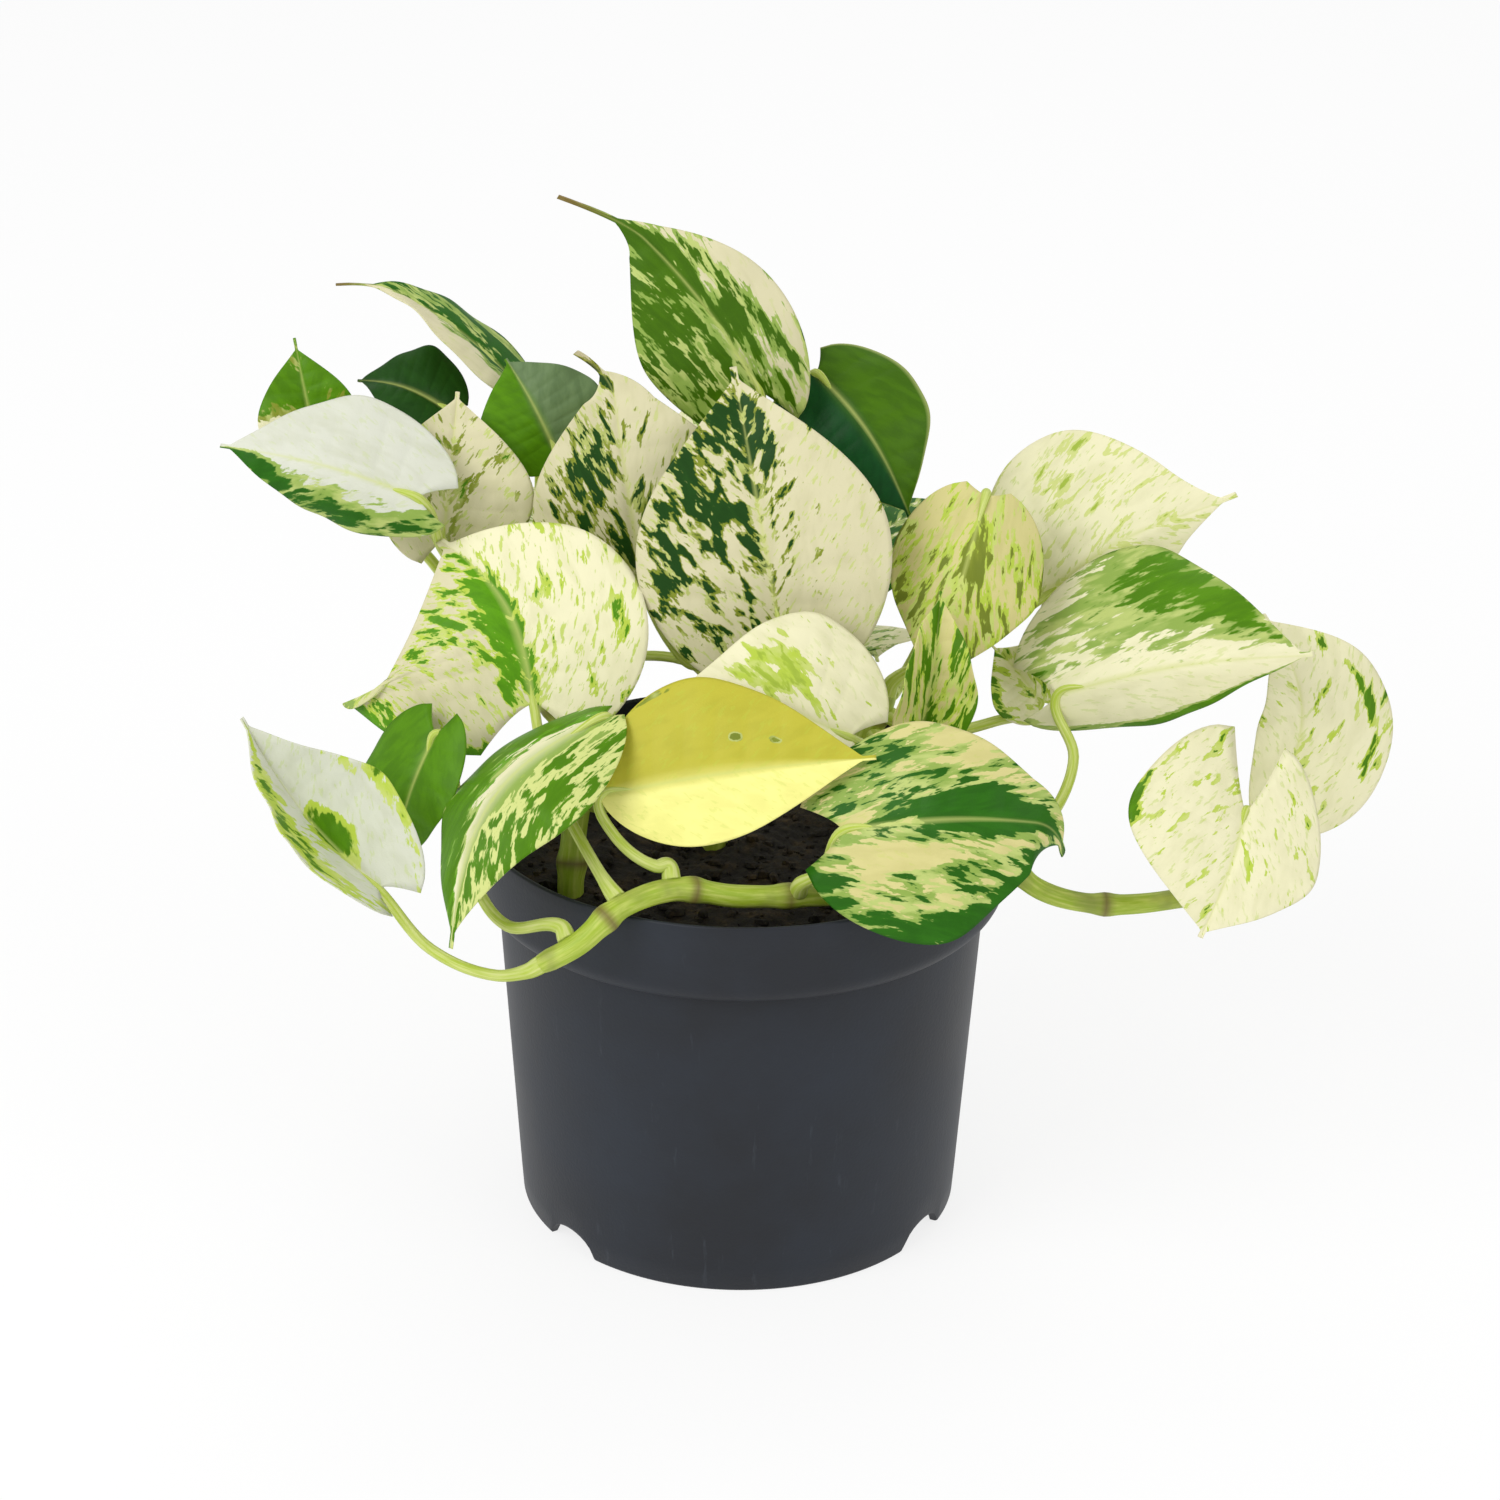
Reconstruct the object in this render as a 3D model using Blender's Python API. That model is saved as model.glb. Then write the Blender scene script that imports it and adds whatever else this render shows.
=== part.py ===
"""A potted pothos: marbled heart-shaped leaves on short vines, rooted in a 12 cm nursery pot.

The tables of vines and leaves are in millimetres from the pot's axis at the table top, with +Y pointing
away from the pot's front. Meshes are made in metres, and everything hangs on one empty at the pot's axis.
"""

import math
from dataclasses import dataclass

import bpy
import numpy as np

MM = 0.001
GAP = 0.3  # clearance between pieces that touch

# where the pot's axis stands: the leaves reach further to one side, and the origin is under their middle
POT_AXIS = (-15.4, -11.9)

# pot
POT_HEIGHT = 97.0
POT_SIDES = 36
RIM_RADIUS = 60.0
BAND_RADIUS = 59.2  # the rim band just above its rounded lower edge
BODY_TOP_RADIUS = 54.4
FOOT_RADIUS = 49.5
BAND_DEPTH = 21.0
WALL = 1.1
FOOT_WIDTH = 1.8
FLOOR_HEIGHT = 6.0
FLOOR_THICKNESS = 1.2
CENTRE_HOLE = 4.0
DRAIN_HOLE = 3.5
DRAIN_RING = 30.0
DRAIN_COUNT = 6
NOTCH_ANGLES = (41.0, 148.0, 221.0, 328.0)
NOTCH_WIDTH = 15.0
NOTCH_HEIGHT = 5.0

# soil
SOIL_TOP = 87.0
SOIL_BUMP = 0.9
SOIL_RINGS = (12.0, 26.0, 40.0)
ROOT_DEPTH = 20.0

# leaves
LEAF_THICKNESS = 0.8
LEAF_ROWS = 7
HALF_COLUMNS = 3
STALK_SIDES = 5
STEM_SIDES = 8
LEAF_TINTS = {"marbled": (0.55, 0.60, 0.28), "green": (0.06, 0.14, 0.02), "yellow": (0.64, 0.60, 0.16)}


@dataclass
class Stem:
    """One vine: it roots at its first point, which lies on the soil, and runs through the rest."""

    name: str
    radius: float
    path: list


@dataclass
class Leaf:
    """One leaf with its stalk.

    base and tip are the ends of the midrib, and face is the way the upper side looks. left and right are
    the half widths as seen from above with the tip ahead. fold lifts each half at the midrib and curl bends
    it further towards its edge, in degrees. arch bows the midrib to the upper side and sway to the left.
    twist turns the blade along the midrib. hook pulls the very tip aside. tail is the share of the length
    that is a narrow drip tip, and lobe how far the two heart lobes reach back, as a share of the length.
    heel is the width at the lobes' inner ends, as a share of the half width. stalk is the stalk's radius,
    and tint names the blade's finish.
    stem and along say where the stalk grows from, and via are the points that it passes.
    """

    name: str
    base: tuple
    tip: tuple
    face: tuple
    left: float
    right: float
    stem: str
    along: float
    via: list
    fold: tuple = (12, 12)
    curl: tuple = (-20, -20)
    arch: float = 3.0
    sway: float = 0.0
    twist: float = 0.0
    hook: tuple = (0, 0, 0)
    tail: float = 0.06
    lobe: float = 0.16
    heel: float = 0.26
    stalk: float = 1.4
    tint: str = "marbled"


STEMS = [
    Stem("vine_front", 2.6, [
        (30, -33, 87), (24, -40, 94), (-1, -47, 97), (-14, -51, 100.5), (-25, -57.5, 99.5), (-34, -62, 93),
        (-42, -62, 88),
    ]),
    Stem("vine_right", 2.3, [
        (32, -4, 87), (35, -12, 97), (44, -23, 102), (53, -29, 101), (64, -32, 92), (76, -32, 88.5),
        (95, -28, 88), (108, -19, 88), (115, -8, 88),
    ]),
    Stem("vine_front_left", 3.0, [(-37, -27, 87), (-36, -22, 103), (-33, -16, 118)]),
    Stem("vine_centre", 3.0, [(-6, -2, 87), (-8, 4, 105), (-6, 12, 128), (-2, 18, 150)]),
    Stem("vine_centre_right", 2.8, [(22, 12, 87), (26, 10, 104), (32, 8, 120)]),
    Stem("vine_left", 2.8, [(-32, 14, 87), (-38, 14, 104), (-48, 14, 122), (-58, 13, 138)]),
    Stem("vine_back", 2.8, [(4, 34, 87), (2, 40, 104), (-4, 46, 122)]),
]

LEAVES = [
    # the crown
    Leaf("leaf_top", (3, 18, 186), (-31, 27, 226), (-0.2, -0.85, 0.35), 18, 15, "vine_centre", 1.0,
         [(-1, 19, 170)], fold=(6, 14), curl=(-10, -24), sway=-3, hook=(-10, 0, 1), tail=0.14),
    Leaf("leaf_top_right", (15, 29, 187), (36, 14, 159), (0.35, -0.7, 0.6), 16, 20, "vine_centre", 0.9,
         [(10, 24, 160), (14, 32, 178)], fold=(16, -24), curl=(-20, -30), arch=5, lobe=0.1, tint="green"),
    Leaf("leaf_centre", (8, -10, 140), (-3, 10, 195), (0, -0.85, 0.5), 27, 26, "vine_centre", 0.5,
         [(0, 0, 122)], fold=(8, 18), curl=(-16, -22), arch=4),
    Leaf("leaf_centre_left", (-22, 8, 144), (-30, 15, 198), (-0.1, -0.9, 0.4), 21, 26, "vine_centre", 0.62,
         [(-16, 10, 130)], fold=(4, 10), curl=(-14, -14), hook=(-7, 0, -2), tail=0.12),
    # the left side
    Leaf("leaf_front_left", (-45, -18, 128), (-66, 5, 156), (-0.05, -0.75, 0.65), 45, 27, "vine_front", 0.66,
         [(-31, -48, 105), (-38, -35, 112), (-43, -24, 120)], fold=(6, 16), curl=(-56, -16), arch=4, sway=-5,
         lobe=0.2),
    Leaf("leaf_under_left", (-65.5, -26, 124.5), (-74, -36.5, 94), (-0.65, -0.7, 0.3), 11, 15, "vine_front", 0.86,
         [(-49, -54, 93), (-57, -43, 99), (-61, -30.5, 112)], fold=(5, 9), tail=0.1, tint="green"),
    Leaf("leaf_drape", (-29, -34, 133), (-60, -68, 95), (-0.5, -0.45, 0.75), 17, 21, "vine_front_left", 0.95,
         [(-29, -28, 121)], fold=(-15, -15), arch=10, sway=-4, lobe=0.05, heel=0.1),
    Leaf("leaf_far_left_low", (-76, -53, 101), (-105, -40, 134), (0.45, -0.6, 0.6), 21, 18, "vine_front", 1.0,
         [(-51, -63, 86), (-65, -59, 90)], fold=(34, 42), curl=(20, 10), arch=-5),
    Leaf("leaf_far_left", (-70, 0, 168), (-113, 6, 177), (-0.1, -0.55, 0.8), 13, 18, "vine_left", 1.0,
         [(-66, 8, 153)], fold=(-34, 10), curl=(-50, -14)),
    Leaf("leaf_left_pale", (-66, 12, 153), (-63, 22, 184), (0.1, -0.9, 0.4), 15, 18, "vine_left", 0.85,
         [(-58, 14, 144)], fold=(14, 14)),
    Leaf("leaf_left_green", (-42, 24, 170), (-53, 32, 188), (0, -0.7, 0.7), 14, 14, "vine_left", 0.6,
         [(-44, 22, 148)], fold=(10, 16), tint="green"),
    Leaf("leaf_left_spire", (-50, 40, 178), (-87, 44, 203.5), (0.45, -0.1, 0.85), 11, 11, "vine_left", 0.7,
         [(-46, 28, 146), (-47, 38, 170)], hook=(-4, 0, -3), tail=0.14, tint="green"),
    Leaf("leaf_left_peak", (-94, 24, 169), (-99, 30, 193), (0, -0.8, 0.5), 11, 10, "vine_left", 0.95,
         [(-72, 20, 148), (-86, 24, 158)], tail=0.12),
    Leaf("leaf_left_dark", (-66, 32, 176), (-86, 36, 181), (0, -0.5, 0.85), 9, 12, "vine_left", 0.8,
         [(-57, 26, 146), (-63, 31, 164)], tint="green"),
    # the front
    Leaf("leaf_yellow", (-30, -42, 118), (28, -45, 129), (0, -0.55, 0.85), 21, 14, "vine_front", 0.5,
         [(-18, -49, 105), (-27, -46, 111)], fold=(26, -20), arch=2, lobe=0.0, heel=0.05, tint="yellow"),
    Leaf("leaf_cream", (23, -31, 127), (-14, -28, 137), (0.1, -0.6, 0.75), 12, 22, "vine_centre_right", 0.5,
         [(25, -12, 116)], fold=(0, 20), arch=4),
    Leaf("leaf_front_right", (21, -51, 115), (72, -49, 115), (0, -0.7, 0.7), 21, 25, "vine_front", 0.25,
         [(17, -49, 104)], fold=(10, -10), curl=(-20, -24), arch=7, hook=(-4, 4, -8)),
    # the right side
    Leaf("leaf_right_upper", (52, 8, 167), (40, -10, 128), (0, -0.9, 0.4), 18, 17, "vine_centre_right", 0.95,
         [(42, 14, 136), (51, 18, 158)], fold=(-10, -14), arch=4, lobe=0.05),
    Leaf("leaf_right_young", (38, -16, 120), (42, -10, 152), (0.2, -0.9, 0.3), 11, 11,
         "vine_centre_right", 0.7, [(35, -4, 112)], fold=(32, 32), curl=(20, 20), lobe=0.06),
    Leaf("leaf_right_pale", (66, 20, 138), (105, 22, 160), (0, -0.75, 0.65), 29, 14, "vine_centre_right", 1.0,
         [(48, 14, 127)], fold=(10, -30), arch=4, sway=2, hook=(3, 0, 2)),
    Leaf("leaf_right_low", (68, -6, 126), (123, -10, 138), (-0.1, -0.7, 0.7), 32, 13, "vine_right", 0.42,
         [(68, -18, 104), (72, -12, 114)], fold=(0, -40), curl=(-24, -30), arch=6),
    Leaf("leaf_right_small", (66, 9, 117), (55, 13, 129), (0, -0.8, 0.6), 9, 9, "vine_centre_right", 0.85,
         [(42, 4, 112), (56, 6, 114)]),
    Leaf("leaf_right_heart", (108, -29, 110), (98, -46, 88), (0.1, -0.9, 0.5), 18, 24, "vine_right", 0.93,
         [(112, -18, 98)], fold=(14, 14), curl=(-30, -30), arch=5, lobe=0.6),
    Leaf("leaf_far_right", (119, 0, 99), (114, 12, 138), (0.3, -0.85, 0.4), 10, 22, "vine_right", 1.0,
         [(118, -4, 92)], fold=(10, 10), sway=-6),
    # the back
    Leaf("leaf_back_left", (-30, 44, 128), (-62, 70, 140), (-0.3, 0.3, 0.9), 19, 19, "vine_back", 0.8,
         [(-16, 46, 122)], arch=6),
    Leaf("leaf_back_middle", (-4, 60, 122), (-8, 92, 112), (0, 0.5, 0.85), 20, 21, "vine_back", 0.7,
         [(-2, 52, 118)], arch=7),
    Leaf("leaf_back_right", (20, 50, 126), (50, 72, 138), (0.3, 0.3, 0.9), 18, 19, "vine_back", 0.9,
         [(8, 48, 122)], arch=6),
    Leaf("leaf_back_high", (-4, 56, 146), (0, 84, 162), (0, -0.4, 0.9), 17, 17, "vine_back", 1.0,
         [(-4, 50, 132)], arch=5),
    Leaf("leaf_back_low_left", (-34, 58, 106), (-50, 82, 86), (-0.3, 0.6, 0.7), 16, 17, "vine_back", 0.45,
         [(-12, 48, 108)], arch=6),
    Leaf("leaf_back_low_right", (22, 60, 108), (32, 86, 92), (0.2, 0.6, 0.7), 16, 16, "vine_back", 0.55,
         [(10, 50, 110)], arch=6),
]


def smooth_path(points, steps):
    """Points along a smooth curve through the given ones, with this many steps to each span.

    The curve leaves each point along the mean of the two ways that meet there, as fast as its span is long.
    """
    points = np.asarray(points, float)
    legs = np.diff(points, axis=0)
    ways = unit(legs)
    headings = unit(np.vstack([ways[:1], ways[:-1] + ways[1:], ways[-1:]]))
    t = np.linspace(0, 1, steps, endpoint=False)[:, None]
    spans = []
    for index, leg in enumerate(np.linalg.norm(legs, axis=1)):
        start, end = points[index], points[index + 1]
        leave, arrive = leg * headings[index], leg * headings[index + 1]
        spans.append((2 * t**3 - 3 * t**2 + 1) * start + (t**3 - 2 * t**2 + t) * leave
                     + (3 * t**2 - 2 * t**3) * end + (t**3 - t**2) * arrive)
    return np.vstack([*spans, points[-1:]])


def unit(vectors):
    return vectors / np.linalg.norm(vectors, axis=-1, keepdims=True)


def link(obj, root, finish):
    bpy.context.scene.collection.objects.link(obj)
    obj.parent = root
    obj.data.materials.append(finish)


def combine(target, tool, root, operation):
    """Cuts the tool from the target, or joins it on; the tool itself stays hidden."""
    bpy.context.scene.collection.objects.link(tool)
    tool.parent = root
    tool.hide_render = True
    tool.display_type = "WIRE"
    modifier = target.modifiers.new(tool.name, "BOOLEAN")
    modifier.operation = operation
    modifier.object = tool
    modifier.solver = "EXACT"


def mesh_object(name, points, faces):
    """A mesh from points in millimetres, with its faces turned outwards."""
    mesh = bpy.data.meshes.new(name)
    mesh.from_pydata((np.asarray(points) * MM).tolist(), [], faces)
    corners = np.array([mesh.vertices[i].co for face in mesh.polygons for i in fan(face.vertices)])
    triangles = corners.reshape(-1, 3, 3)
    if np.linalg.det(triangles).sum() < 0:
        mesh.flip_normals()
    mesh.shade_smooth()
    mesh.set_sharp_from_angle(angle=math.radians(35))
    return bpy.data.objects.new(name, mesh)


def fan(loop):
    """The corners of the triangles that a face's loop splits into."""
    loop = list(loop)
    return [i for b, c in zip(loop[1:], loop[2:]) for i in (loop[0], b, c)]


def grid_faces(rows, columns, closed=False):
    """Quads over a grid of points; closed joins the last column to the first."""
    across = columns if closed else columns - 1
    return [
        (r * columns + c, r * columns + (c + 1) % columns,
         (r + 1) * columns + (c + 1) % columns, (r + 1) * columns + c)
        for r in range(rows - 1) for c in range(across)
    ]


def tube(name, path, radii, sides):
    """A round closed tube along a path, thick as radii says at each point."""
    path = np.asarray(path, float)
    tangents = unit(np.gradient(path, axis=0))
    side = unit(np.cross(tangents[0], (0.31, 0.83, 0.47)))
    rings = []
    for point, tangent, radius in zip(path, tangents, radii):
        side = unit(side - tangent * (side @ tangent))
        other = np.cross(tangent, side)
        turn = np.linspace(0, 2 * math.pi, sides, endpoint=False)[:, None]
        rings.append(point + radius * (side * np.cos(turn) + other * np.sin(turn)))
    faces = grid_faces(len(path), sides, closed=True)
    last = (len(path) - 1) * sides
    caps = [tuple(range(sides))[::-1], tuple(range(last, last + sides))]
    return mesh_object(name, np.vstack(rings), faces + caps)


def turned(name, profile, sides, lift=None):
    """A closed ring turned about Z from a closed profile of (radius, height) points."""
    profile = np.asarray(profile, float)
    turn = np.linspace(0, 2 * math.pi, sides, endpoint=False)[:, None]
    radius, height = profile[:, 0], profile[:, 1]
    points = np.stack([radius * np.cos(turn), radius * np.sin(turn), height + 0 * turn], axis=-1)
    count = len(profile)
    faces = [
        (s * count + p, s * count + (p + 1) % count,
         (s + 1) % sides * count + (p + 1) % count, (s + 1) % sides * count + p)
        for s in range(sides) for p in range(count)
    ]
    points = points.reshape(-1, 3)
    if lift is not None:
        points[:, 2] += lift(points)
    return mesh_object(name, points, faces)


def cylinder(name, centre, radius, bottom, top, sides):
    x, y = centre
    return tube(name, [(x, y, bottom), (x, y, top)], [radius, radius], sides)


def pot_profile():
    """Up the outside past the band's rounded edge, over the rim, down the inside and out at the foot."""
    shelf = POT_HEIGHT - BAND_DEPTH
    outer = [
        (FOOT_RADIUS, 0), (BODY_TOP_RADIUS, shelf), (BODY_TOP_RADIUS + 1.0, shelf + 1.6),
        (BAND_RADIUS - 1.4, shelf + 4.6), (BAND_RADIUS - 0.3, shelf + 6.2), (BAND_RADIUS, shelf + 8.5),
        (RIM_RADIUS, POT_HEIGHT),
    ]
    inner = [(radius - WALL, height) for radius, height in outer[:0:-1]]
    floor_top = FLOOR_HEIGHT + FLOOR_THICKNESS
    floor_radius = FOOT_RADIUS + (BODY_TOP_RADIUS - FOOT_RADIUS) * floor_top / shelf - WALL
    floor = [
        (floor_radius, floor_top), (CENTRE_HOLE, floor_top), (CENTRE_HOLE, FLOOR_HEIGHT),
        (FOOT_RADIUS - FOOT_WIDTH, FLOOR_HEIGHT), (FOOT_RADIUS - FOOT_WIDTH, 0),
    ]
    return outer + inner + floor


def make_pot(root):
    plastic = material("pot_plastic", (0.040, 0.046, 0.060), 0.55)
    pot = turned("pot", pot_profile(), POT_SIDES)
    for index in range(DRAIN_COUNT):
        angle = 2 * math.pi * (index + 0.5) / DRAIN_COUNT
        centre = (DRAIN_RING * math.cos(angle), DRAIN_RING * math.sin(angle))
        hole = cylinder(f"drain_cutter_{index}", centre, DRAIN_HOLE, FLOOR_HEIGHT - 3, FLOOR_HEIGHT + 6, 10)
        combine(pot, hole, root, "DIFFERENCE")
    for index, degrees in enumerate(NOTCH_ANGLES):
        angle = math.radians(degrees)
        out = np.array([math.cos(angle), math.sin(angle), 0])
        start, end = out * (FOOT_RADIUS - 6), out * (FOOT_RADIUS + 6)
        notch = tube(f"notch_cutter_{index}", [start, end], [NOTCH_WIDTH / 2] * 2, 16)
        squeeze = NOTCH_HEIGHT / (NOTCH_WIDTH / 2)
        for vertex in notch.data.vertices:
            vertex.co.z *= squeeze
        combine(pot, notch, root, "DIFFERENCE")
    link(pot, root, plastic)


def soil_bumps(points):
    """Low mounds over the soil's top, none on its sides or underneath."""
    x, y, z = points.T
    mounds = np.sin(0.21 * x + 1.0) * np.cos(0.17 * y + 0.4) + 0.5 * np.sin(0.43 * x - 0.31 * y)
    return np.where(z > SOIL_TOP - 1, SOIL_BUMP * mounds, 0)


def make_soil(root):
    earth = material("soil_earth", (0.018, 0.011, 0.007), 0.95)
    shelf = POT_HEIGHT - BAND_DEPTH
    bottom = FLOOR_HEIGHT + FLOOR_THICKNESS + GAP
    slope = (BODY_TOP_RADIUS - FOOT_RADIUS) / shelf
    inset = WALL + GAP + 0.1
    base_radius = FOOT_RADIUS + slope * bottom - inset
    core = 1.5  # the ring closes on a thin core, which a plug fills
    profile = [
        (core, bottom), (base_radius, bottom), (BODY_TOP_RADIUS - inset, shelf + 0.6),
        (BAND_RADIUS - 1.4 - inset, shelf + 5.4), (BAND_RADIUS - inset - 0.4, SOIL_TOP),
        *[(radius, SOIL_TOP) for radius in reversed(SOIL_RINGS)], (core, SOIL_TOP),
    ]
    soil = turned("soil", profile, POT_SIDES, soil_bumps)
    plug = cylinder("soil_plug", (0, 0), core + 0.6, bottom + 1, SOIL_TOP + 0.2, 12)
    combine(soil, plug, root, "UNION")
    for stem in STEMS:
        x, y, z = stem.path[0]
        radius = (stem.radius + GAP + 0.1) / math.cos(math.pi / 12)
        socket = cylinder(f"socket_{stem.name}", (x, y), radius, z - ROOT_DEPTH - GAP, z + 12, 12)
        combine(soil, socket, root, "DIFFERENCE")
    link(soil, root, earth)


def stem_path(stem):
    """Straight up out of the soil, then along the vine."""
    x, y, z = stem.path[0]
    buried = [(x, y, z - ROOT_DEPTH), (x, y, z - ROOT_DEPTH / 2)]
    risen = [(x, y, z + 2.5)]
    return np.vstack([buried, smooth_path(risen + stem.path[1:], 3)])


def make_stems(root):
    green = material("vine_green", (0.25, 0.38, 0.06), 0.45)
    paths = {}
    for stem in STEMS:
        path = stem_path(stem)
        paths[stem.name] = (path, stem.radius)
        radii = np.full(len(path), stem.radius)
        radii[-2:] = stem.radius * np.array([0.92, 0.7])
        link(tube(stem.name, path, radii, STEM_SIDES), root, green)
    return paths


def midrib(leaf, u):
    """The midrib at shares u of its length, and the blade's left and upward directions there."""
    base, tip = np.array(leaf.base, float), np.array(leaf.tip, float)
    chord = tip - base
    ahead = unit(chord)
    left = unit(np.cross(leaf.face, ahead))
    up = np.cross(ahead, left)

    def place(u):
        inside = np.clip(u, 0, 1)[..., None]
        past = (u[..., None] - inside)
        bow = np.sin(math.pi * inside) + math.pi * past
        late = np.clip((inside - 0.78) / 0.22, 0, 1) ** 2
        return (base + chord * u[..., None] + bow * (up * leaf.arch + left * leaf.sway)
                + late * np.array(leaf.hook, float))

    step = 1e-3
    points = place(u)
    ahead = unit(place(u + step) - place(u - step))
    side = unit(np.cross(up, ahead))
    above = np.cross(ahead, side)
    turn = np.radians(leaf.twist) * np.clip(u - 0.25, 0, 1)[..., None]
    return points, side * np.cos(turn) + above * np.sin(turn), above * np.cos(turn) - side * np.sin(turn)


def blade(leaf, rows, half_columns):
    """The blade's middle surface as a grid: rows follow the side veins, columns run from base to tip."""
    s = np.linspace(0, 1, rows)[:, None] ** 1.3
    t = np.linspace(-1, 1, 2 * half_columns + 1)[None, :]
    body = np.clip(s / (1 - leaf.tail), 0, 1)
    swell = np.sin(math.pi * body**0.62) ** 0.9 * (1 - 0.3 * body**5)
    share = leaf.heel * (1 - s) ** 8 + swell + 0.03
    sweep = -leaf.lobe * (1 - s) ** 6 + 0.16 * np.sqrt(s) * (1 - s)
    half = np.where(t > 0, leaf.left, leaf.right)
    fold = np.radians(np.where(t > 0, *leaf.fold))
    curl = np.radians(np.where(t > 0, *leaf.curl)) + 1e-4
    along = s + sweep * np.abs(t) ** 1.5
    reach = share * np.abs(t)
    across = half / curl * (np.sin(fold + curl * reach) - np.sin(fold))
    lift = -half / curl * (np.cos(fold + curl * reach) - np.cos(fold))
    points, left, above = midrib(leaf, along)
    return points + left * (np.sign(t) * across)[..., None] + above * lift[..., None]


def blade_object(leaf):
    """The blade as a closed sheet of even thickness."""
    grid = blade(leaf, LEAF_ROWS, HALF_COLUMNS)
    rows, columns, _ = grid.shape
    normals = unit(np.cross(np.gradient(grid, axis=0), np.gradient(grid, axis=1)))
    top = (grid + normals * LEAF_THICKNESS / 2).reshape(-1, 3)
    under = (grid - normals * LEAF_THICKNESS / 2).reshape(-1, 3)
    count = rows * columns
    over = grid_faces(rows, columns)
    below = [tuple(i + count for i in face[::-1]) for face in over]
    rim = (list(range(columns)) + [r * columns + columns - 1 for r in range(1, rows)]
           + [count - 1 - c for c in range(1, columns)] + [r * columns for r in range(rows - 2, 0, -1)])
    wall = [(b, a, a + count, b + count) for a, b in zip(rim, rim[1:] + rim[:1])]
    return mesh_object(leaf.name, np.vstack([top, under]), over + below + wall)


def stalk_path(leaf, stem_points, stem_radius):
    """From the vine's skin through the stalk's own points to the blade, and a little way under its midrib."""
    position = leaf.along * (len(stem_points) - 3) + 2
    index = min(int(position), len(stem_points) - 2)
    share = position - index
    centre = stem_points[index] * (1 - share) + stem_points[index + 1] * share
    axis = unit(stem_points[index + 1] - stem_points[index])
    out = np.array(leaf.via[0], float) - centre
    out = unit(out - axis * (out @ axis))
    start = centre + out * (stem_radius + GAP)
    if leaf.along == 1:  # the last leaf carries on from the vine's end
        out = axis
        start = centre + out * GAP
    under, _, above = midrib(leaf, np.array([0.0, 0.16]))
    points = [start, start + out * 2.5, *leaf.via, under[0] - above[0] * 0.3, under[1] - above[1] * 0.4]
    return smooth_path(points, 2)


def make_leaves(root, stem_paths):
    finishes = {tint: material(f"leaf_{tint}", colour, 0.4) for tint, colour in LEAF_TINTS.items()}
    for leaf in LEAVES:
        sheet = blade_object(leaf)
        path = stalk_path(leaf, *stem_paths[leaf.stem])
        radii = np.linspace(leaf.stalk, 0.75 * leaf.stalk, len(path))
        radii[-2:] = 0.8, 0.55
        stalk = tube(f"stalk_of_{leaf.name}", path, radii, STALK_SIDES)
        combine(sheet, stalk, root, "UNION")
        link(sheet, root, finishes[leaf.tint])


def material(name, colour, roughness, metallic=0.0):
    made = bpy.data.materials.new(name)
    made.use_nodes = True
    shader = made.node_tree.nodes["Principled BSDF"]
    shader.inputs["Base Color"].default_value = (*colour, 1)
    shader.inputs["Roughness"].default_value = roughness
    shader.inputs["Metallic"].default_value = metallic
    return made


def clear_scene():
    for obj in list(bpy.data.objects):
        bpy.data.objects.remove(obj)


def main():
    clear_scene()
    root = bpy.data.objects.new("pot_axis", None)
    root.location = (POT_AXIS[0] * MM, POT_AXIS[1] * MM, 0)
    bpy.context.scene.collection.objects.link(root)
    make_pot(root)
    make_soil(root)
    make_leaves(root, make_stems(root))


main()
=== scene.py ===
import math

import bpy
import numpy as np
from mathutils import Euler, Matrix, Vector


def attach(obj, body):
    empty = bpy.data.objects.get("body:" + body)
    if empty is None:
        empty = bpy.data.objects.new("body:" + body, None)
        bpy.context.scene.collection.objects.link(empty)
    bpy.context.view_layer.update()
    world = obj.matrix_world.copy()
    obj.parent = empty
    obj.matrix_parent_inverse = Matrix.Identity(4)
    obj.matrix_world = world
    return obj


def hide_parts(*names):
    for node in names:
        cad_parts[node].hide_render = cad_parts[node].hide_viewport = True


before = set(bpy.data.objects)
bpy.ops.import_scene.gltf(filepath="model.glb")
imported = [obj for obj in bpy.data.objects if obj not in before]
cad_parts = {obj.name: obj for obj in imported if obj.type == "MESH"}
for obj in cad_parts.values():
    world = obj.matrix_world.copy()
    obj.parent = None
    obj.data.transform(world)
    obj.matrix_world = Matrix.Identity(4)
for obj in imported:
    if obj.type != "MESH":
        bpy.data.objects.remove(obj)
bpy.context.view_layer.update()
mm = 0.001

# the leaves reach further to one side, so the pot's axis stands beside the origin
potAxis = np.array([-15.4, -11.9, 0.0])


def screenColour(red, green, blue):
    # a screen colour of 0 to 255 in linear light: ((c + 0.055) / 1.055) ^ 2.4, or c / 12.92 where dark
    values = [value / 255 for value in (red, green, blue)]
    return (*[v / 12.92 if v < 0.04045 else ((v + 0.055) / 1.055) ** 2.4 for v in values], 1.0)


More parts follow.
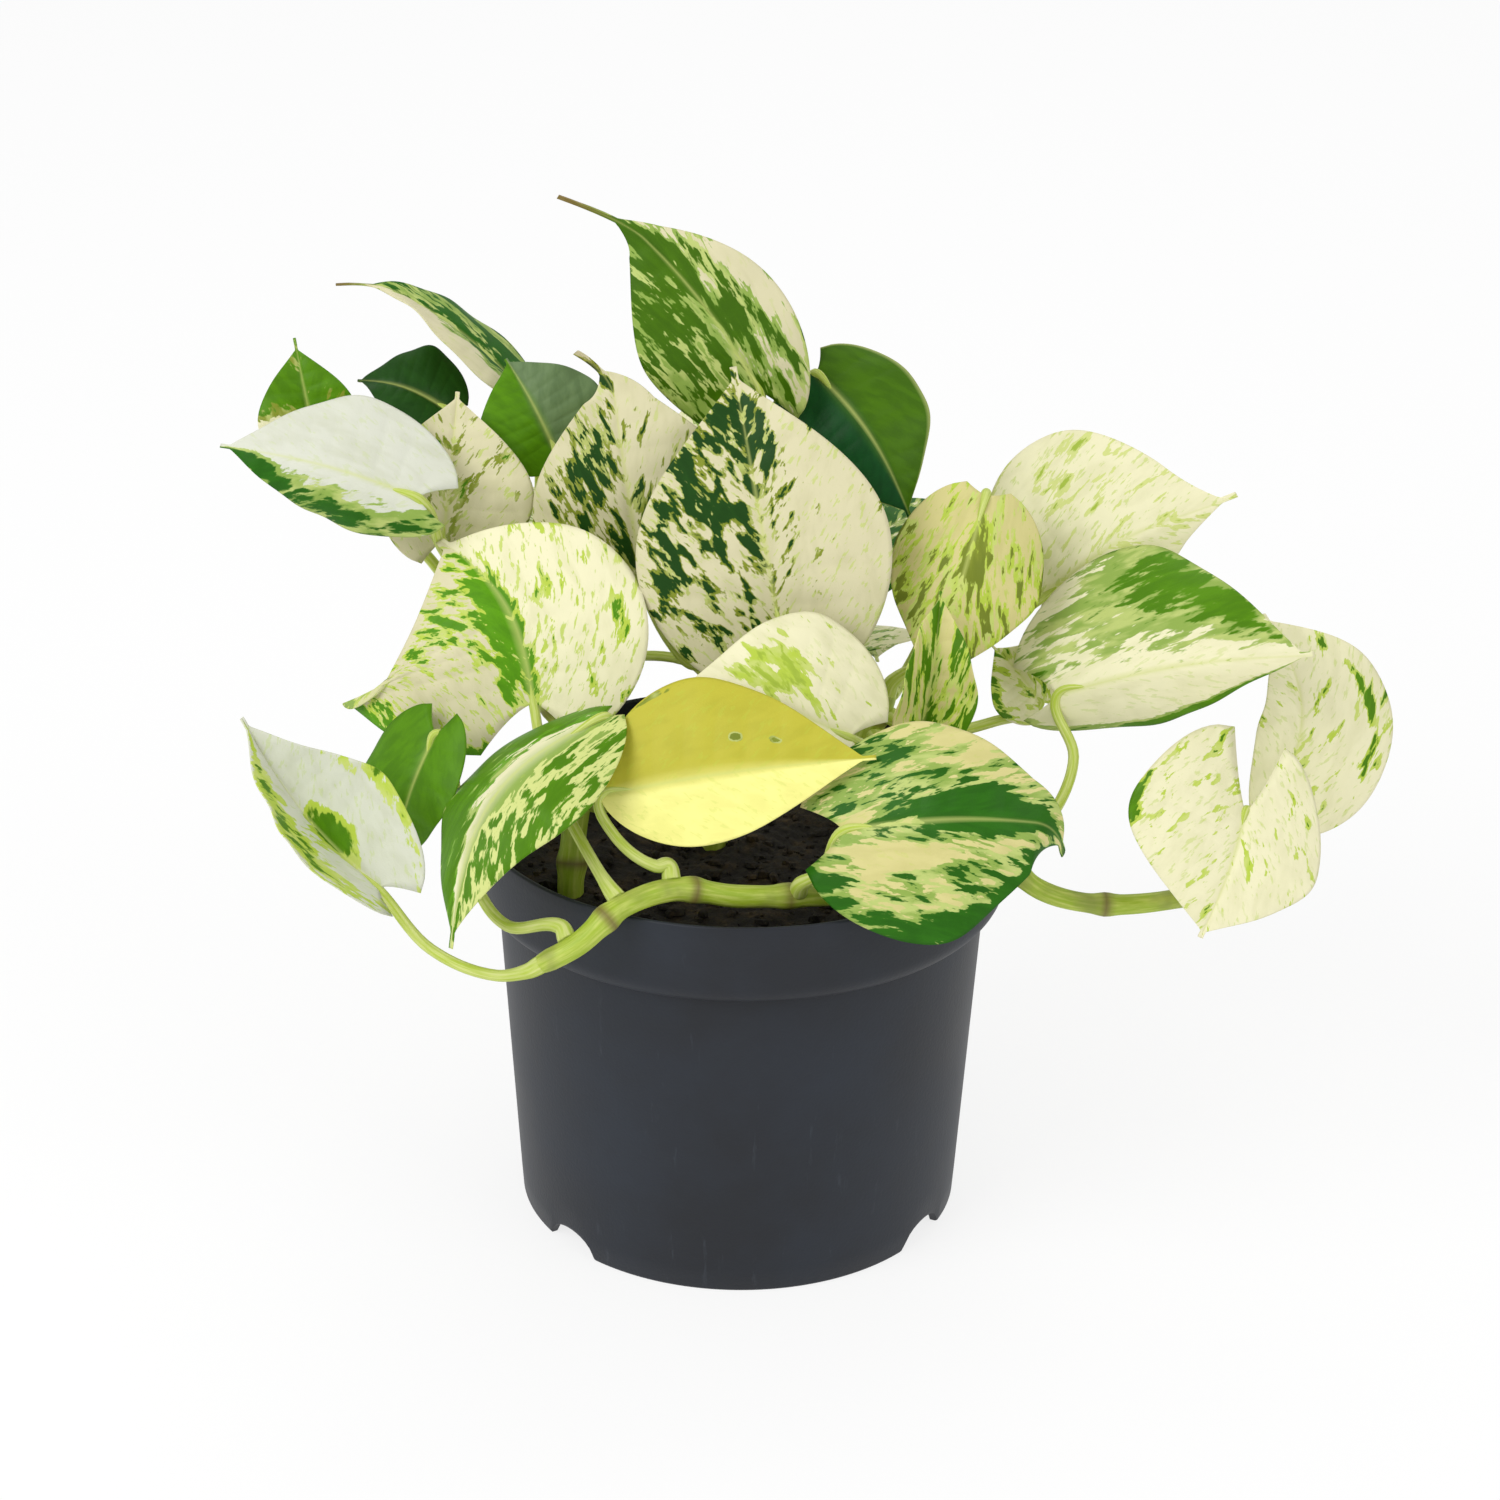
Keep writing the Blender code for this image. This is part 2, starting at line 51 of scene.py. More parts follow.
class Signal:
    # a shader value; + - and * on it add their own Math nodes
    def __init__(self, shader, socket):
        self.shader, self.socket = shader, socket

    def math(self, operation, *values):
        return self.shader.add("ShaderNodeMath", {"operation": operation}, dict(enumerate(values)))

    def __add__(self, other):
        return self.math("ADD", self, other)

    def __radd__(self, other):
        return self.math("ADD", other, self)

    def __sub__(self, other):
        return self.math("SUBTRACT", self, other)

    def __rsub__(self, other):
        return self.math("SUBTRACT", other, self)

    def __mul__(self, other):
        return self.math("MULTIPLY", self, other)

    def __rmul__(self, other):
        return self.math("MULTIPLY", other, self)

    def either(self, other):
        # the larger of the two
        return self.math("MAXIMUM", self, other)

    def rise(self, low, high):
        # 0 below low, 1 above high, and a smooth step between
        return self.shader.add("ShaderNodeMapRange", {"interpolation_type": "SMOOTHSTEP"},
                               {"Value": self, "From Min": low, "From Max": high})


class Shader:
    # the nodes of a material or of the world around its surface node; add() makes any other node from
    # its type, settings and inputs
    def __init__(self, owner, surface="Principled BSDF"):
        owner.use_nodes = True
        self.owner, self.tree = owner, owner.node_tree
        self.surface = self.tree.nodes[surface]

    def feed(self, node, inputs):
        for key, value in inputs.items():
            if isinstance(value, Signal):
                self.tree.links.new(value.socket, node.inputs[key])
            else:
                node.inputs[key].default_value = value

    def add(self, kind, settings, inputs, output=0):
        node = self.tree.nodes.new(kind)
        for key, value in settings.items():
            setattr(node, key, value)
        self.feed(node, inputs)
        return Signal(self, node.outputs[output])

    def mix(self, share, first, second, blend="MIX"):
        # first where share is 0, second, or first blended with it, where share is 1
        return self.add("ShaderNodeMix", {"data_type": "RGBA", "blend_type": blend},
                        {0: share, 6: first, 7: second}, 2)

    def stretch(self, vector, scale, shift=(0, 0, 0)):
        return self.add("ShaderNodeMapping", {}, {"Vector": vector, "Scale": scale, "Location": shift})

    def noise(self, vector, scale, detail=3.0, roughness=0.5, distortion=0.0):
        return self.add("ShaderNodeTexNoise", {}, {"Vector": vector, "Scale": scale, "Detail": detail,
                        "Roughness": roughness, "Distortion": distortion})

    def attribute(self, name, output):
        return self.add("ShaderNodeAttribute", {"attribute_name": name}, {}, output)

    def bump(self, height, strength, distance):
        return self.add("ShaderNodeBump", {}, {"Height": height, "Strength": strength, "Distance": distance})

    def finish(self, **inputs):
        self.feed(self.surface, {key.replace("_", " "): value for key, value in inputs.items()})
        return self.owner


def unit(vectors):
    # each vector over its length
    return vectors / np.maximum(np.linalg.norm(vectors, axis=-1, keepdims=True), 1e-12)


def turns(sides):
    # angles once round, from 0
    return np.linspace(0, 2 * math.pi, sides, endpoint=False)


def gridFaces(rows, columns, closed):
    # quads between neighbouring rows and columns; closed joins the last column to the first
    index = np.arange(rows * columns).reshape(rows, columns)
    ahead = np.roll(index, -1, axis=1) if closed else index[:, 1:]
    here = index if closed else index[:, :-1]
    return np.stack([here[:-1], ahead[:-1], ahead[1:], here[1:]], axis=-1).reshape(-1, 4)


def fan(here, ahead, centre):
    # triangles from each step of a ring to one point
    return np.stack([here, ahead, np.full(len(here), centre)], axis=-1)


def makeMesh(name, points, faces):
    # points are in millimetres around the pot's axis, and faces are arrays of point numbers
    mesh = bpy.data.meshes.new(name)
    world = (np.asarray(points, float) + potAxis) * mm
    mesh.from_pydata(world.tolist(), [], [face for group in faces for face in group.tolist()])
    return mesh


def addObject(name, data):
    holder = bpy.data.objects.new(name, data)
    bpy.context.scene.collection.objects.link(holder)
    return holder


def addPiece(name, points, faces, nodes, material, fields=None, smooth=True):
    # a visible piece in place of its CAD nodes; fields are values kept at its points
    mesh = makeMesh(name, points, faces)
    for key, values in (fields or {}).items():
        vector = values.ndim == 2
        data = mesh.attributes.new(key, "FLOAT_VECTOR" if vector else "FLOAT", "POINT").data
        data.foreach_set("vector" if vector else "value", values.astype(np.float32).ravel())
    if smooth:
        mesh.shade_smooth()
    mesh.materials.append(material)
    piece = addObject(name, mesh)
    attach(piece, "root")
    if nodes:
        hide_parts(*nodes)
    return piece


def titleOf(node):
    # a CAD node's name in camelCase
    first, *others = node.split("_")
    return first + "".join(part.capitalize() for part in others)


def smoothPath(points, steps):
    # Hermite curve: each point is left along the mean of the two ways that meet there, as fast as its
    # span is long: p(t) = (2t3-3t2+1) a + (t3-2t2+t) leave + (3t2-2t3) b + (t3-t2) arrive
    points = np.asarray(points, float)
    legs = np.diff(points, axis=0)
    ways = unit(legs)
    headings = unit(np.vstack([ways[:1], ways[:-1] + ways[1:], ways[-1:]]))
    length = np.linalg.norm(legs, axis=1)[:, None, None]
    t = np.linspace(0, 1, steps, endpoint=False)[None, :, None]
    start, end = points[:-1, None], points[1:, None]
    leave, arrive = length * headings[:-1, None], length * headings[1:, None]
    spans = ((2 * t**3 - 3 * t**2 + 1) * start + (t**3 - 2 * t**2 + t) * leave
             + (3 * t**2 - 2 * t**3) * end + (t**3 - t**2) * arrive)
    return np.vstack([spans.reshape(-1, 3), points[-1:]])


def alongPath(path):
    # running length at each point
    return np.concatenate([[0], np.cumsum(np.linalg.norm(np.diff(path, axis=0), axis=1))])


def tubeGrid(path, radius, sides):
    # rings around a path: centre + radius (side cos a + other sin a), the side carried along
    tangents = unit(np.gradient(path, axis=0))
    side = unit(np.cross(tangents[0], (0.31, 0.83, 0.47)))
    sidesAlong = []
    for tangent in tangents:
        side = unit(side - tangent * (side @ tangent))
        sidesAlong.append(side)
    side = np.array(sidesAlong)
    other = np.cross(tangents, side)
    turn = turns(sides)[None, :, None]
    return path[:, None] + radius[..., None] * (side[:, None] * np.cos(turn) + other[:, None] * np.sin(turn))


def tubeMesh(path, radius, sides):
    # the rings joined into a tube, whose end rings close onto the path's end points
    radius = np.broadcast_to(np.asarray(radius, float).reshape(len(path), -1), (len(path), sides))
    rings = tubeGrid(path, radius, sides).reshape(-1, 3)
    count = len(rings)
    first = np.arange(sides)
    last = first + count - sides
    faces = [gridFaces(len(path), sides, True), fan(np.roll(first, -1), first, count),
             fan(last, np.roll(last, -1), count + 1)]
    return np.vstack([rings, path[:1], path[-1:]]), faces


def tubePlaces(run, sides, radius):
    # the shader's place at each point of a tube: radius cos a, the length run along it, radius sin a
    around, along = np.meshgrid(turns(sides), run)
    places = np.stack([radius * np.cos(around), along, radius * np.sin(around)], axis=-1).reshape(-1, 3)
    return np.vstack([places, places[:1], places[-1:]])


def turnedMesh(profile, sides, shape, closed=True):
    # radius and height turned about Z and moved by shape; closed joins the profile's end to its start
    radius, height = np.asarray(profile, float).T
    turn = turns(sides)[:, None]
    points = shape(np.stack([radius * np.cos(turn), radius * np.sin(turn), height + 0 * turn], axis=-1))
    index = np.arange(sides * len(radius)).reshape(sides, len(radius))
    ahead, up = np.roll(index, -1, axis=0), np.roll(index, -1, axis=1)
    quads = np.stack([index, ahead, np.roll(ahead, -1, axis=1), up], axis=-1)
    return points.reshape(-1, 3), (quads if closed else quads[:, :-1]).reshape(-1, 4)


# millimetres, degrees and screen colours; the band under the rim has a rounded lower edge, the lip, and
# the foot ring has notches
pot = {
    "height": 97.0, "rimRadius": 60.0, "bandRadius": 59.2, "bodyTopRadius": 54.4, "footRadius": 49.5,
    "bandDepth": 21.0, "bandTrim": 7.0, "lipWidth": 2.8, "lipHeight": 4.6, "lipCentre": 5.6, "wall": 1.1,
    "footWidth": 1.8, "footInside": 3.0, "footEase": (0.5, 0.6), "floorHeight": 6.0, "floorThickness": 1.2,
    "centreHole": 4.0, "drainHole": 3.5, "drainRing": 30.0, "drainCount": 6, "drainReach": (3, 5),
    "notchAngles": (41, 148, 221, 328), "notchWidth": 15.0, "notchHeight": 5.0, "notchReach": 6.5,
    "notchSquash": 0.12, "sides": 216, "drainSides": 24, "bodyRows": 14, "roundRows": 9, "bandRows": 6,
    "floorRings": 10, "sharpAngle": 40, "colour": (31, 34, 40), "worn": (46, 54, 66),
    "scuffed": (84, 90, 100), "roughness": 0.5,
}


def potPlastic():
    # colour to worn by 1.2 (cloud - 0.35), then 0.22 of the way to scuffed where upright streaks pass
    # 0.62 to 0.78; the bump is fine grain and 0.6 of the streaks
    shader = Shader(bpy.data.materials.new("potPlastic"))
    place = shader.add("ShaderNodeTexCoord", {}, {}, "Object")
    cloud = shader.noise(place, 28, 4, 0.6)
    grain = shader.noise(place, 1400, 2, 0.5)
    scuff = shader.noise(shader.stretch(place, (1, 1, 0.18)), 240, 4, 0.7)
    base = shader.mix((cloud - 0.35) * 1.2, screenColour(*pot["colour"]), screenColour(*pot["worn"]))
    base = shader.mix(scuff.rise(0.62, 0.78) * 0.22, base, screenColour(*pot["scuffed"]))
    return shader.finish(Base_Color=base, Roughness=pot["roughness"] + (cloud - 0.5) * 0.2,
                         Specular_IOR_Level=0.3, Normal=shader.bump(grain + scuff * 0.6, 0.16, 0.0003))


def potProfile():
    # up the tapering outside, round the lip by band - width + width cos a, up the band, over the crown by
    # the wall's half circle, down the inside a wall further in, over the floor and out at the foot
    shelf = pot["height"] - pot["bandDepth"]
    foot, body, band, rim = pot["footRadius"], pot["bodyTopRadius"], pot["bandRadius"], pot["rimRadius"]
    height = np.linspace(0, 1, pot["bodyRows"])
    outside = np.stack([foot + (body - foot) * height, shelf * height], axis=-1)
    inward, rise = pot["footEase"]
    outside[0] += (-inward, 0)
    outside = np.insert(outside, 1, (foot, rise), axis=0)
    turn = np.linspace(-0.5 * math.pi, 0, pot["roundRows"])
    width = pot["lipWidth"]
    lip = np.stack([band - width + width * np.cos(turn),
                    shelf + pot["lipCentre"] + pot["lipHeight"] * np.sin(turn)], axis=-1)
    leaning = np.array([rim - band, pot["height"] - shelf - pot["bandTrim"]])
    wallTop = np.linspace(0, 1, pot["bandRows"])[1:, None] * leaning + lip[-1]
    edge = 0.5 * pot["wall"]
    turn = np.linspace(0, math.pi, pot["roundRows"])[1:-1]
    crown = np.stack([rim - edge + edge * np.cos(turn), wallTop[-1, 1] + edge * np.sin(turn)], axis=-1)
    outer = np.vstack([outside, lip, wallTop])
    inner = outer[:1:-1] - (pot["wall"], 0)
    top = pot["floorHeight"] + pot["floorThickness"]
    inner = inner[inner[:, 1] > top + 1]
    floorRadius = foot + (body - foot) * top / shelf - pot["wall"]
    footWall = foot - pot["footWidth"]
    across = np.linspace(floorRadius, pot["centreHole"], pot["floorRings"])
    floor = np.stack([across, 0 * across + top], axis=-1)
    under = np.linspace(pot["centreHole"], footWall, pot["floorRings"])
    below = np.stack([under, 0 * under + pot["floorHeight"]], axis=-1)
    return np.vstack([outer, crown, inner, floor, below, [(footWall, pot["footInside"]), (footWall, 0.0)]])


def footNotches(points):
    # below the notch's arch the foot rises: height sqrt(1 - (distance / half width) ^ 2)
    radius = np.hypot(points[..., 0], points[..., 1])
    angle = np.arctan2(points[..., 1], points[..., 0])
    lift = np.zeros(angle.shape)
    for degrees in pot["notchAngles"]:
        away = np.angle(np.exp(1j * (angle - math.radians(degrees)))) * pot["footRadius"]
        arch = np.sqrt(np.clip(1 - (away / (0.5 * pot["notchWidth"])) ** 2, 0, 1))
        lift = np.maximum(lift, arch * pot["notchHeight"])
    low = (points[..., 2] < pot["notchReach"]) & (radius > pot["footRadius"] - pot["footWidth"] - 0.01)
    raised = np.maximum(points[..., 2], lift + pot["notchSquash"] * points[..., 2])
    points[..., 2] = np.where(low, raised, points[..., 2])
    return points


def drainCutters():
    # upright rods in a ring, one for each drain hole
    rods = []
    below, above = pot["drainReach"]
    for index in range(pot["drainCount"]):
        angle = 2 * math.pi * (index + 0.5) / pot["drainCount"]
        x, y = pot["drainRing"] * math.cos(angle), pot["drainRing"] * math.sin(angle)
        path = np.array([(x, y, pot["floorHeight"] - below), (x, y, pot["floorHeight"] + above)])
        rods.append(tubeMesh(path, pot["drainHole"] * np.ones(2), pot["drainSides"]))
    size = len(rods[0][0])
    faces = [group + size * index for index, rod in enumerate(rods) for group in rod[1]]
    return makeMesh("drainCutter", np.vstack([rod[0] for rod in rods]), faces)


def makePot():
    # the turned shell less the drain rods
    points, quads = turnedMesh(potProfile(), pot["sides"], footNotches)
    piece = addPiece("potShell", points, [quads], ["pot"], potPlastic())
    cutter = addObject("drainCutter", drainCutters())
    modifier = piece.modifiers.new("drain", "BOOLEAN")
    modifier.operation, modifier.object, modifier.solver = "DIFFERENCE", cutter, "EXACT"
    bpy.context.view_layer.update()
    cut = bpy.data.meshes.new_from_object(piece.evaluated_get(bpy.context.evaluated_depsgraph_get()))
    piece.modifiers.clear()
    piece.data = cut
    bpy.data.objects.remove(cutter)
    cut.set_sharp_from_angle(angle=math.radians(pot["sharpAngle"]))


# the bed's top follows soilHeight, and crumbs lie on it; millimetres and screen colours
soil = {
    "top": 87.0, "depth": 8.0, "bump": 0.9, "wallGap": 0.5, "middle": 0.6, "rings": 54, "sides": 150,
    "crumbs": 900, "seed": 11, "crumbSize": (0.35, 1.5), "crumbRough": 0.35, "crumbFlat": 0.75,
    "crumbStretch": (0.7, 1.3), "crumbInset": 1.8, "crumbRise": 0.25, "dark": (20, 14, 6),
    "brown": (66, 50, 24), "grit": (96, 72, 46), "roughness": 0.95,
}


def soilEarth():
    # dark to brown where the clods' noise passes 0.45 to 0.75, half way to grit where fine grain passes
    # 0.66; the bump is the clods and 0.6 of the grain
    shader = Shader(bpy.data.materials.new("soilEarth"))
    place = shader.add("ShaderNodeTexCoord", {}, {}, "Object")
    clod = shader.noise(place, 170, 6, 0.7)
    grain = shader.noise(place, 900, 4, 0.7)
    base = shader.mix(clod.rise(0.45, 0.75), screenColour(*soil["dark"]), screenColour(*soil["brown"]))
    base = shader.mix(grain.rise(0.66, 0.8) * 0.5, base, screenColour(*soil["grit"]))
    return shader.finish(Base_Color=base, Roughness=soil["roughness"],
                         Normal=shader.bump(clod + grain * 0.6, 0.9, 0.0012))


def soilHeight(x, y):
    # low mounds, sin x cos y and half a slanting sine, with finer lumps, two products of sines, on them
    mounds = np.sin(0.21 * x + 1.0) * np.cos(0.17 * y + 0.4) + 0.5 * np.sin(0.43 * x - 0.31 * y)
    lumps = (0.35 * np.sin(1.3 * x + 0.6 * y) * np.sin(1.1 * y - 0.7 * x + 2)
             + 0.22 * np.sin(2.3 * x) * np.sin(2.1 * y))
    return soil["top"] + soil["bump"] * mounds + lumps


def makeBed(material, wallRadius):
    # rings over the top, then down to a flat bottom, with a fan at each end of the profile
    middle, bottom = soil["middle"], soil["top"] - soil["depth"]
    rings = np.linspace(middle, wallRadius, soil["rings"])
    profile = np.vstack([np.stack([rings, 0 * rings + soil["top"]], axis=-1),
                         [(wallRadius - middle, bottom), (middle, bottom)]])

    def mound(points):
        upper = points[..., 2] > bottom
        points[..., 2] = np.where(upper, soilHeight(points[..., 0], points[..., 1]), points[..., 2])
        return points

    points, quads = turnedMesh(profile[::-1], soil["sides"], mound, closed=False)
    count = len(points)
    low = np.arange(soil["sides"]) * len(profile)
    top = low + len(profile) - 1
    faces = [quads, fan(top, np.roll(top, -1), count), fan(np.roll(low, -1), low, count + 1)]
    centres = [(0.0, 0.0, soilHeight(0, 0)), (0.0, 0.0, bottom)]
    addPiece("soilBed", np.vstack([points, centres]), faces, ["soil"], material)


def makeCrumbs(material, reach):
    # rough twenty-sided lumps, each with its own place, size and stretch: corner (1 + rough) size stretch
    draw = np.random.default_rng(soil["seed"])
    golden = (1 + 5**0.5) / 2
    plane = np.array([(-1, golden, 0), (1, golden, 0), (-1, -golden, 0), (1, -golden, 0)])
    corners = unit(np.vstack([np.roll(plane, axis, axis=1) for axis in range(3)]))
    sides = np.array([(0, 11, 5), (0, 5, 1), (0, 1, 7), (0, 7, 10), (0, 10, 11), (1, 5, 9), (5, 11, 4),
                      (11, 10, 2), (10, 7, 6), (7, 1, 8), (3, 9, 4), (3, 4, 2), (3, 2, 6), (3, 6, 8),
                      (3, 8, 9), (4, 9, 5), (2, 4, 11), (6, 2, 10), (8, 6, 7), (9, 8, 1)])
    count, each = soil["crumbs"], len(corners)
    least, more = soil["crumbSize"]
    spread = np.sqrt(draw.uniform(0.0, 1.0, count)) * reach
    angle = draw.uniform(0, 2 * math.pi, count)
    size = least + more * draw.uniform(0, 1, count) ** 3
    x, y = spread * np.cos(angle), spread * np.sin(angle)
    shape = corners[None] * (1 + soil["crumbRough"] * draw.uniform(-1, 1, (count, each, 1)))
    flat = size[:, None, None] * np.array([1.0, 1.0, soil["crumbFlat"]])
    shape = shape * (flat * draw.uniform(*soil["crumbStretch"], (count, 1, 3)))
    points = shape + np.stack([x, y, soilHeight(x, y) + soil["crumbRise"] * size], axis=-1)[:, None]
    faces = (sides[None] + each * np.arange(count)[:, None, None]).reshape(-1, 3)
    addPiece("soilCrumbs", points.reshape(-1, 3), [faces], [], material, smooth=False)


def makeSoil():
    material = soilEarth()
    wallRadius = pot["bandRadius"] - pot["wall"] - soil["wallGap"]
    makeBed(material, wallRadius)
    makeCrumbs(material, wallRadius - soil["crumbInset"])


# each vine's radius, and the points it passes from the soil on
vines = {
    "vine_front": (2.6, [(30, -33, 87), (24, -40, 94), (-1, -47, 97), (-14, -51, 100.5), (-25, -57.5, 99.5),
                         (-34, -62, 93), (-42, -62, 88)]),
    "vine_right": (2.3, [(32, -4, 87), (35, -12, 97), (44, -23, 102), (53, -29, 101), (64, -32, 92),
                         (76, -32, 88.5), (95, -28, 88), (108, -19, 88), (115, -8, 88)]),
    "vine_front_left": (3.0, [(-37, -27, 87), (-36, -22, 103), (-33, -16, 118)]),
    "vine_centre": (3.0, [(-6, -2, 87), (-8, 4, 105), (-6, 12, 128), (-2, 18, 150)]),
    "vine_centre_right": (2.8, [(22, 12, 87), (26, 10, 104), (32, 8, 120)]),
    "vine_left": (2.8, [(-32, 14, 87), (-38, 14, 104), (-48, 14, 122), (-58, 13, 138)]),
    "vine_back": (2.8, [(4, 34, 87), (2, 40, 104), (-4, 46, 122)]),
}
vineLooks = {
    "rootDepth": 20.0, "rootSteps": (0.0, 8.0, 16.0), "rise": 2.5, "stepsPerSpan": 16, "cadSteps": 3,
    "sides": 28, "slim": 0.94, "firstKnot": 27.0, "knotSpacing": 21.0, "knotSwell": 0.22, "swellReach": 2.2,
    "markReach": 1.1, "markFrom": 22, "endLength": 3.0, "endWidth": 0.7, "fresh": (156, 182, 36),
    "light": (196, 208, 98), "knot": (112, 92, 48), "old": (128, 134, 62),
}


def vineBark():
    # fresh to light along streaks of noise, 0.6 of the way to old in soft clouds, and brown at the knots;
    # the bump is the streaks
    shader = Shader(bpy.data.materials.new("vineGreen"))
    place = shader.attribute("stemPlace", 1)
    knot = shader.attribute("knot", 2)
    streak = shader.noise(shader.stretch(place, (1.1, 0.1, 1.1)), 1.0, 4, 0.6)
    cloud = shader.noise(place, 0.09, 3, 0.5)
    fresh, light, brown, old = [screenColour(*vineLooks[key]) for key in ("fresh", "light", "knot", "old")]
    base = shader.mix(streak.rise(0.35, 0.7), fresh, light)
    base = shader.mix(cloud.rise(0.48, 0.7) * 0.6, base, old)
    base = shader.mix(knot * 0.85, base, brown)
    return shader.finish(Base_Color=base, Roughness=0.45 + streak * 0.12,
                         Normal=shader.bump(streak, 0.25, 0.0004))


def vinePath(points, rootSteps, stepsPerSpan):
    # straight up out of the soil, then along the vine
    x, y, z = points[0]
    root = [(x, y, z - vineLooks["rootDepth"] + step) for step in rootSteps]
    return np.vstack([root, smoothPath([(x, y, z + vineLooks["rise"]), *points[1:]], stepsPerSpan)])


def makeVines():
    # radius (slim + swell at each knot), less at the end, with five low ridges around and a slow ripple
    material = vineBark()
    sides, spacing = vineLooks["sides"], vineLooks["knotSpacing"]
    for name, (radius, points) in vines.items():
        path = vinePath(points, vineLooks["rootSteps"], vineLooks["stepsPerSpan"])
        run = alongPath(path)
        away = np.abs((run - vineLooks["firstKnot"] + spacing / 2) % spacing - spacing / 2)
        knot = np.exp(-(away / vineLooks["markReach"]) ** 2) * (run > vineLooks["markFrom"])
        swell = vineLooks["knotSwell"] * np.exp(-(away / vineLooks["swellReach"]) ** 2)
        body = radius * (vineLooks["slim"] + swell)
        ending = np.clip((run[-1] - run) / vineLooks["endLength"], 0, 1) ** 0.5
        body *= vineLooks["endWidth"] + (1 - vineLooks["endWidth"]) * ending
        ridges = 1 + 0.025 * np.cos(5 * turns(sides) + 1)[None] + 0.02 * np.sin(0.35 * run)[:, None]
        mesh, faces = tubeMesh(path, body[:, None] * ridges, sides)
        knots = np.concatenate([np.repeat(knot, sides), knot[:1], knot[-1:]])
        addPiece(titleOf(name), mesh, faces, [name], material,
                 {"stemPlace": tubePlaces(run, sides, radius), "knot": knots})


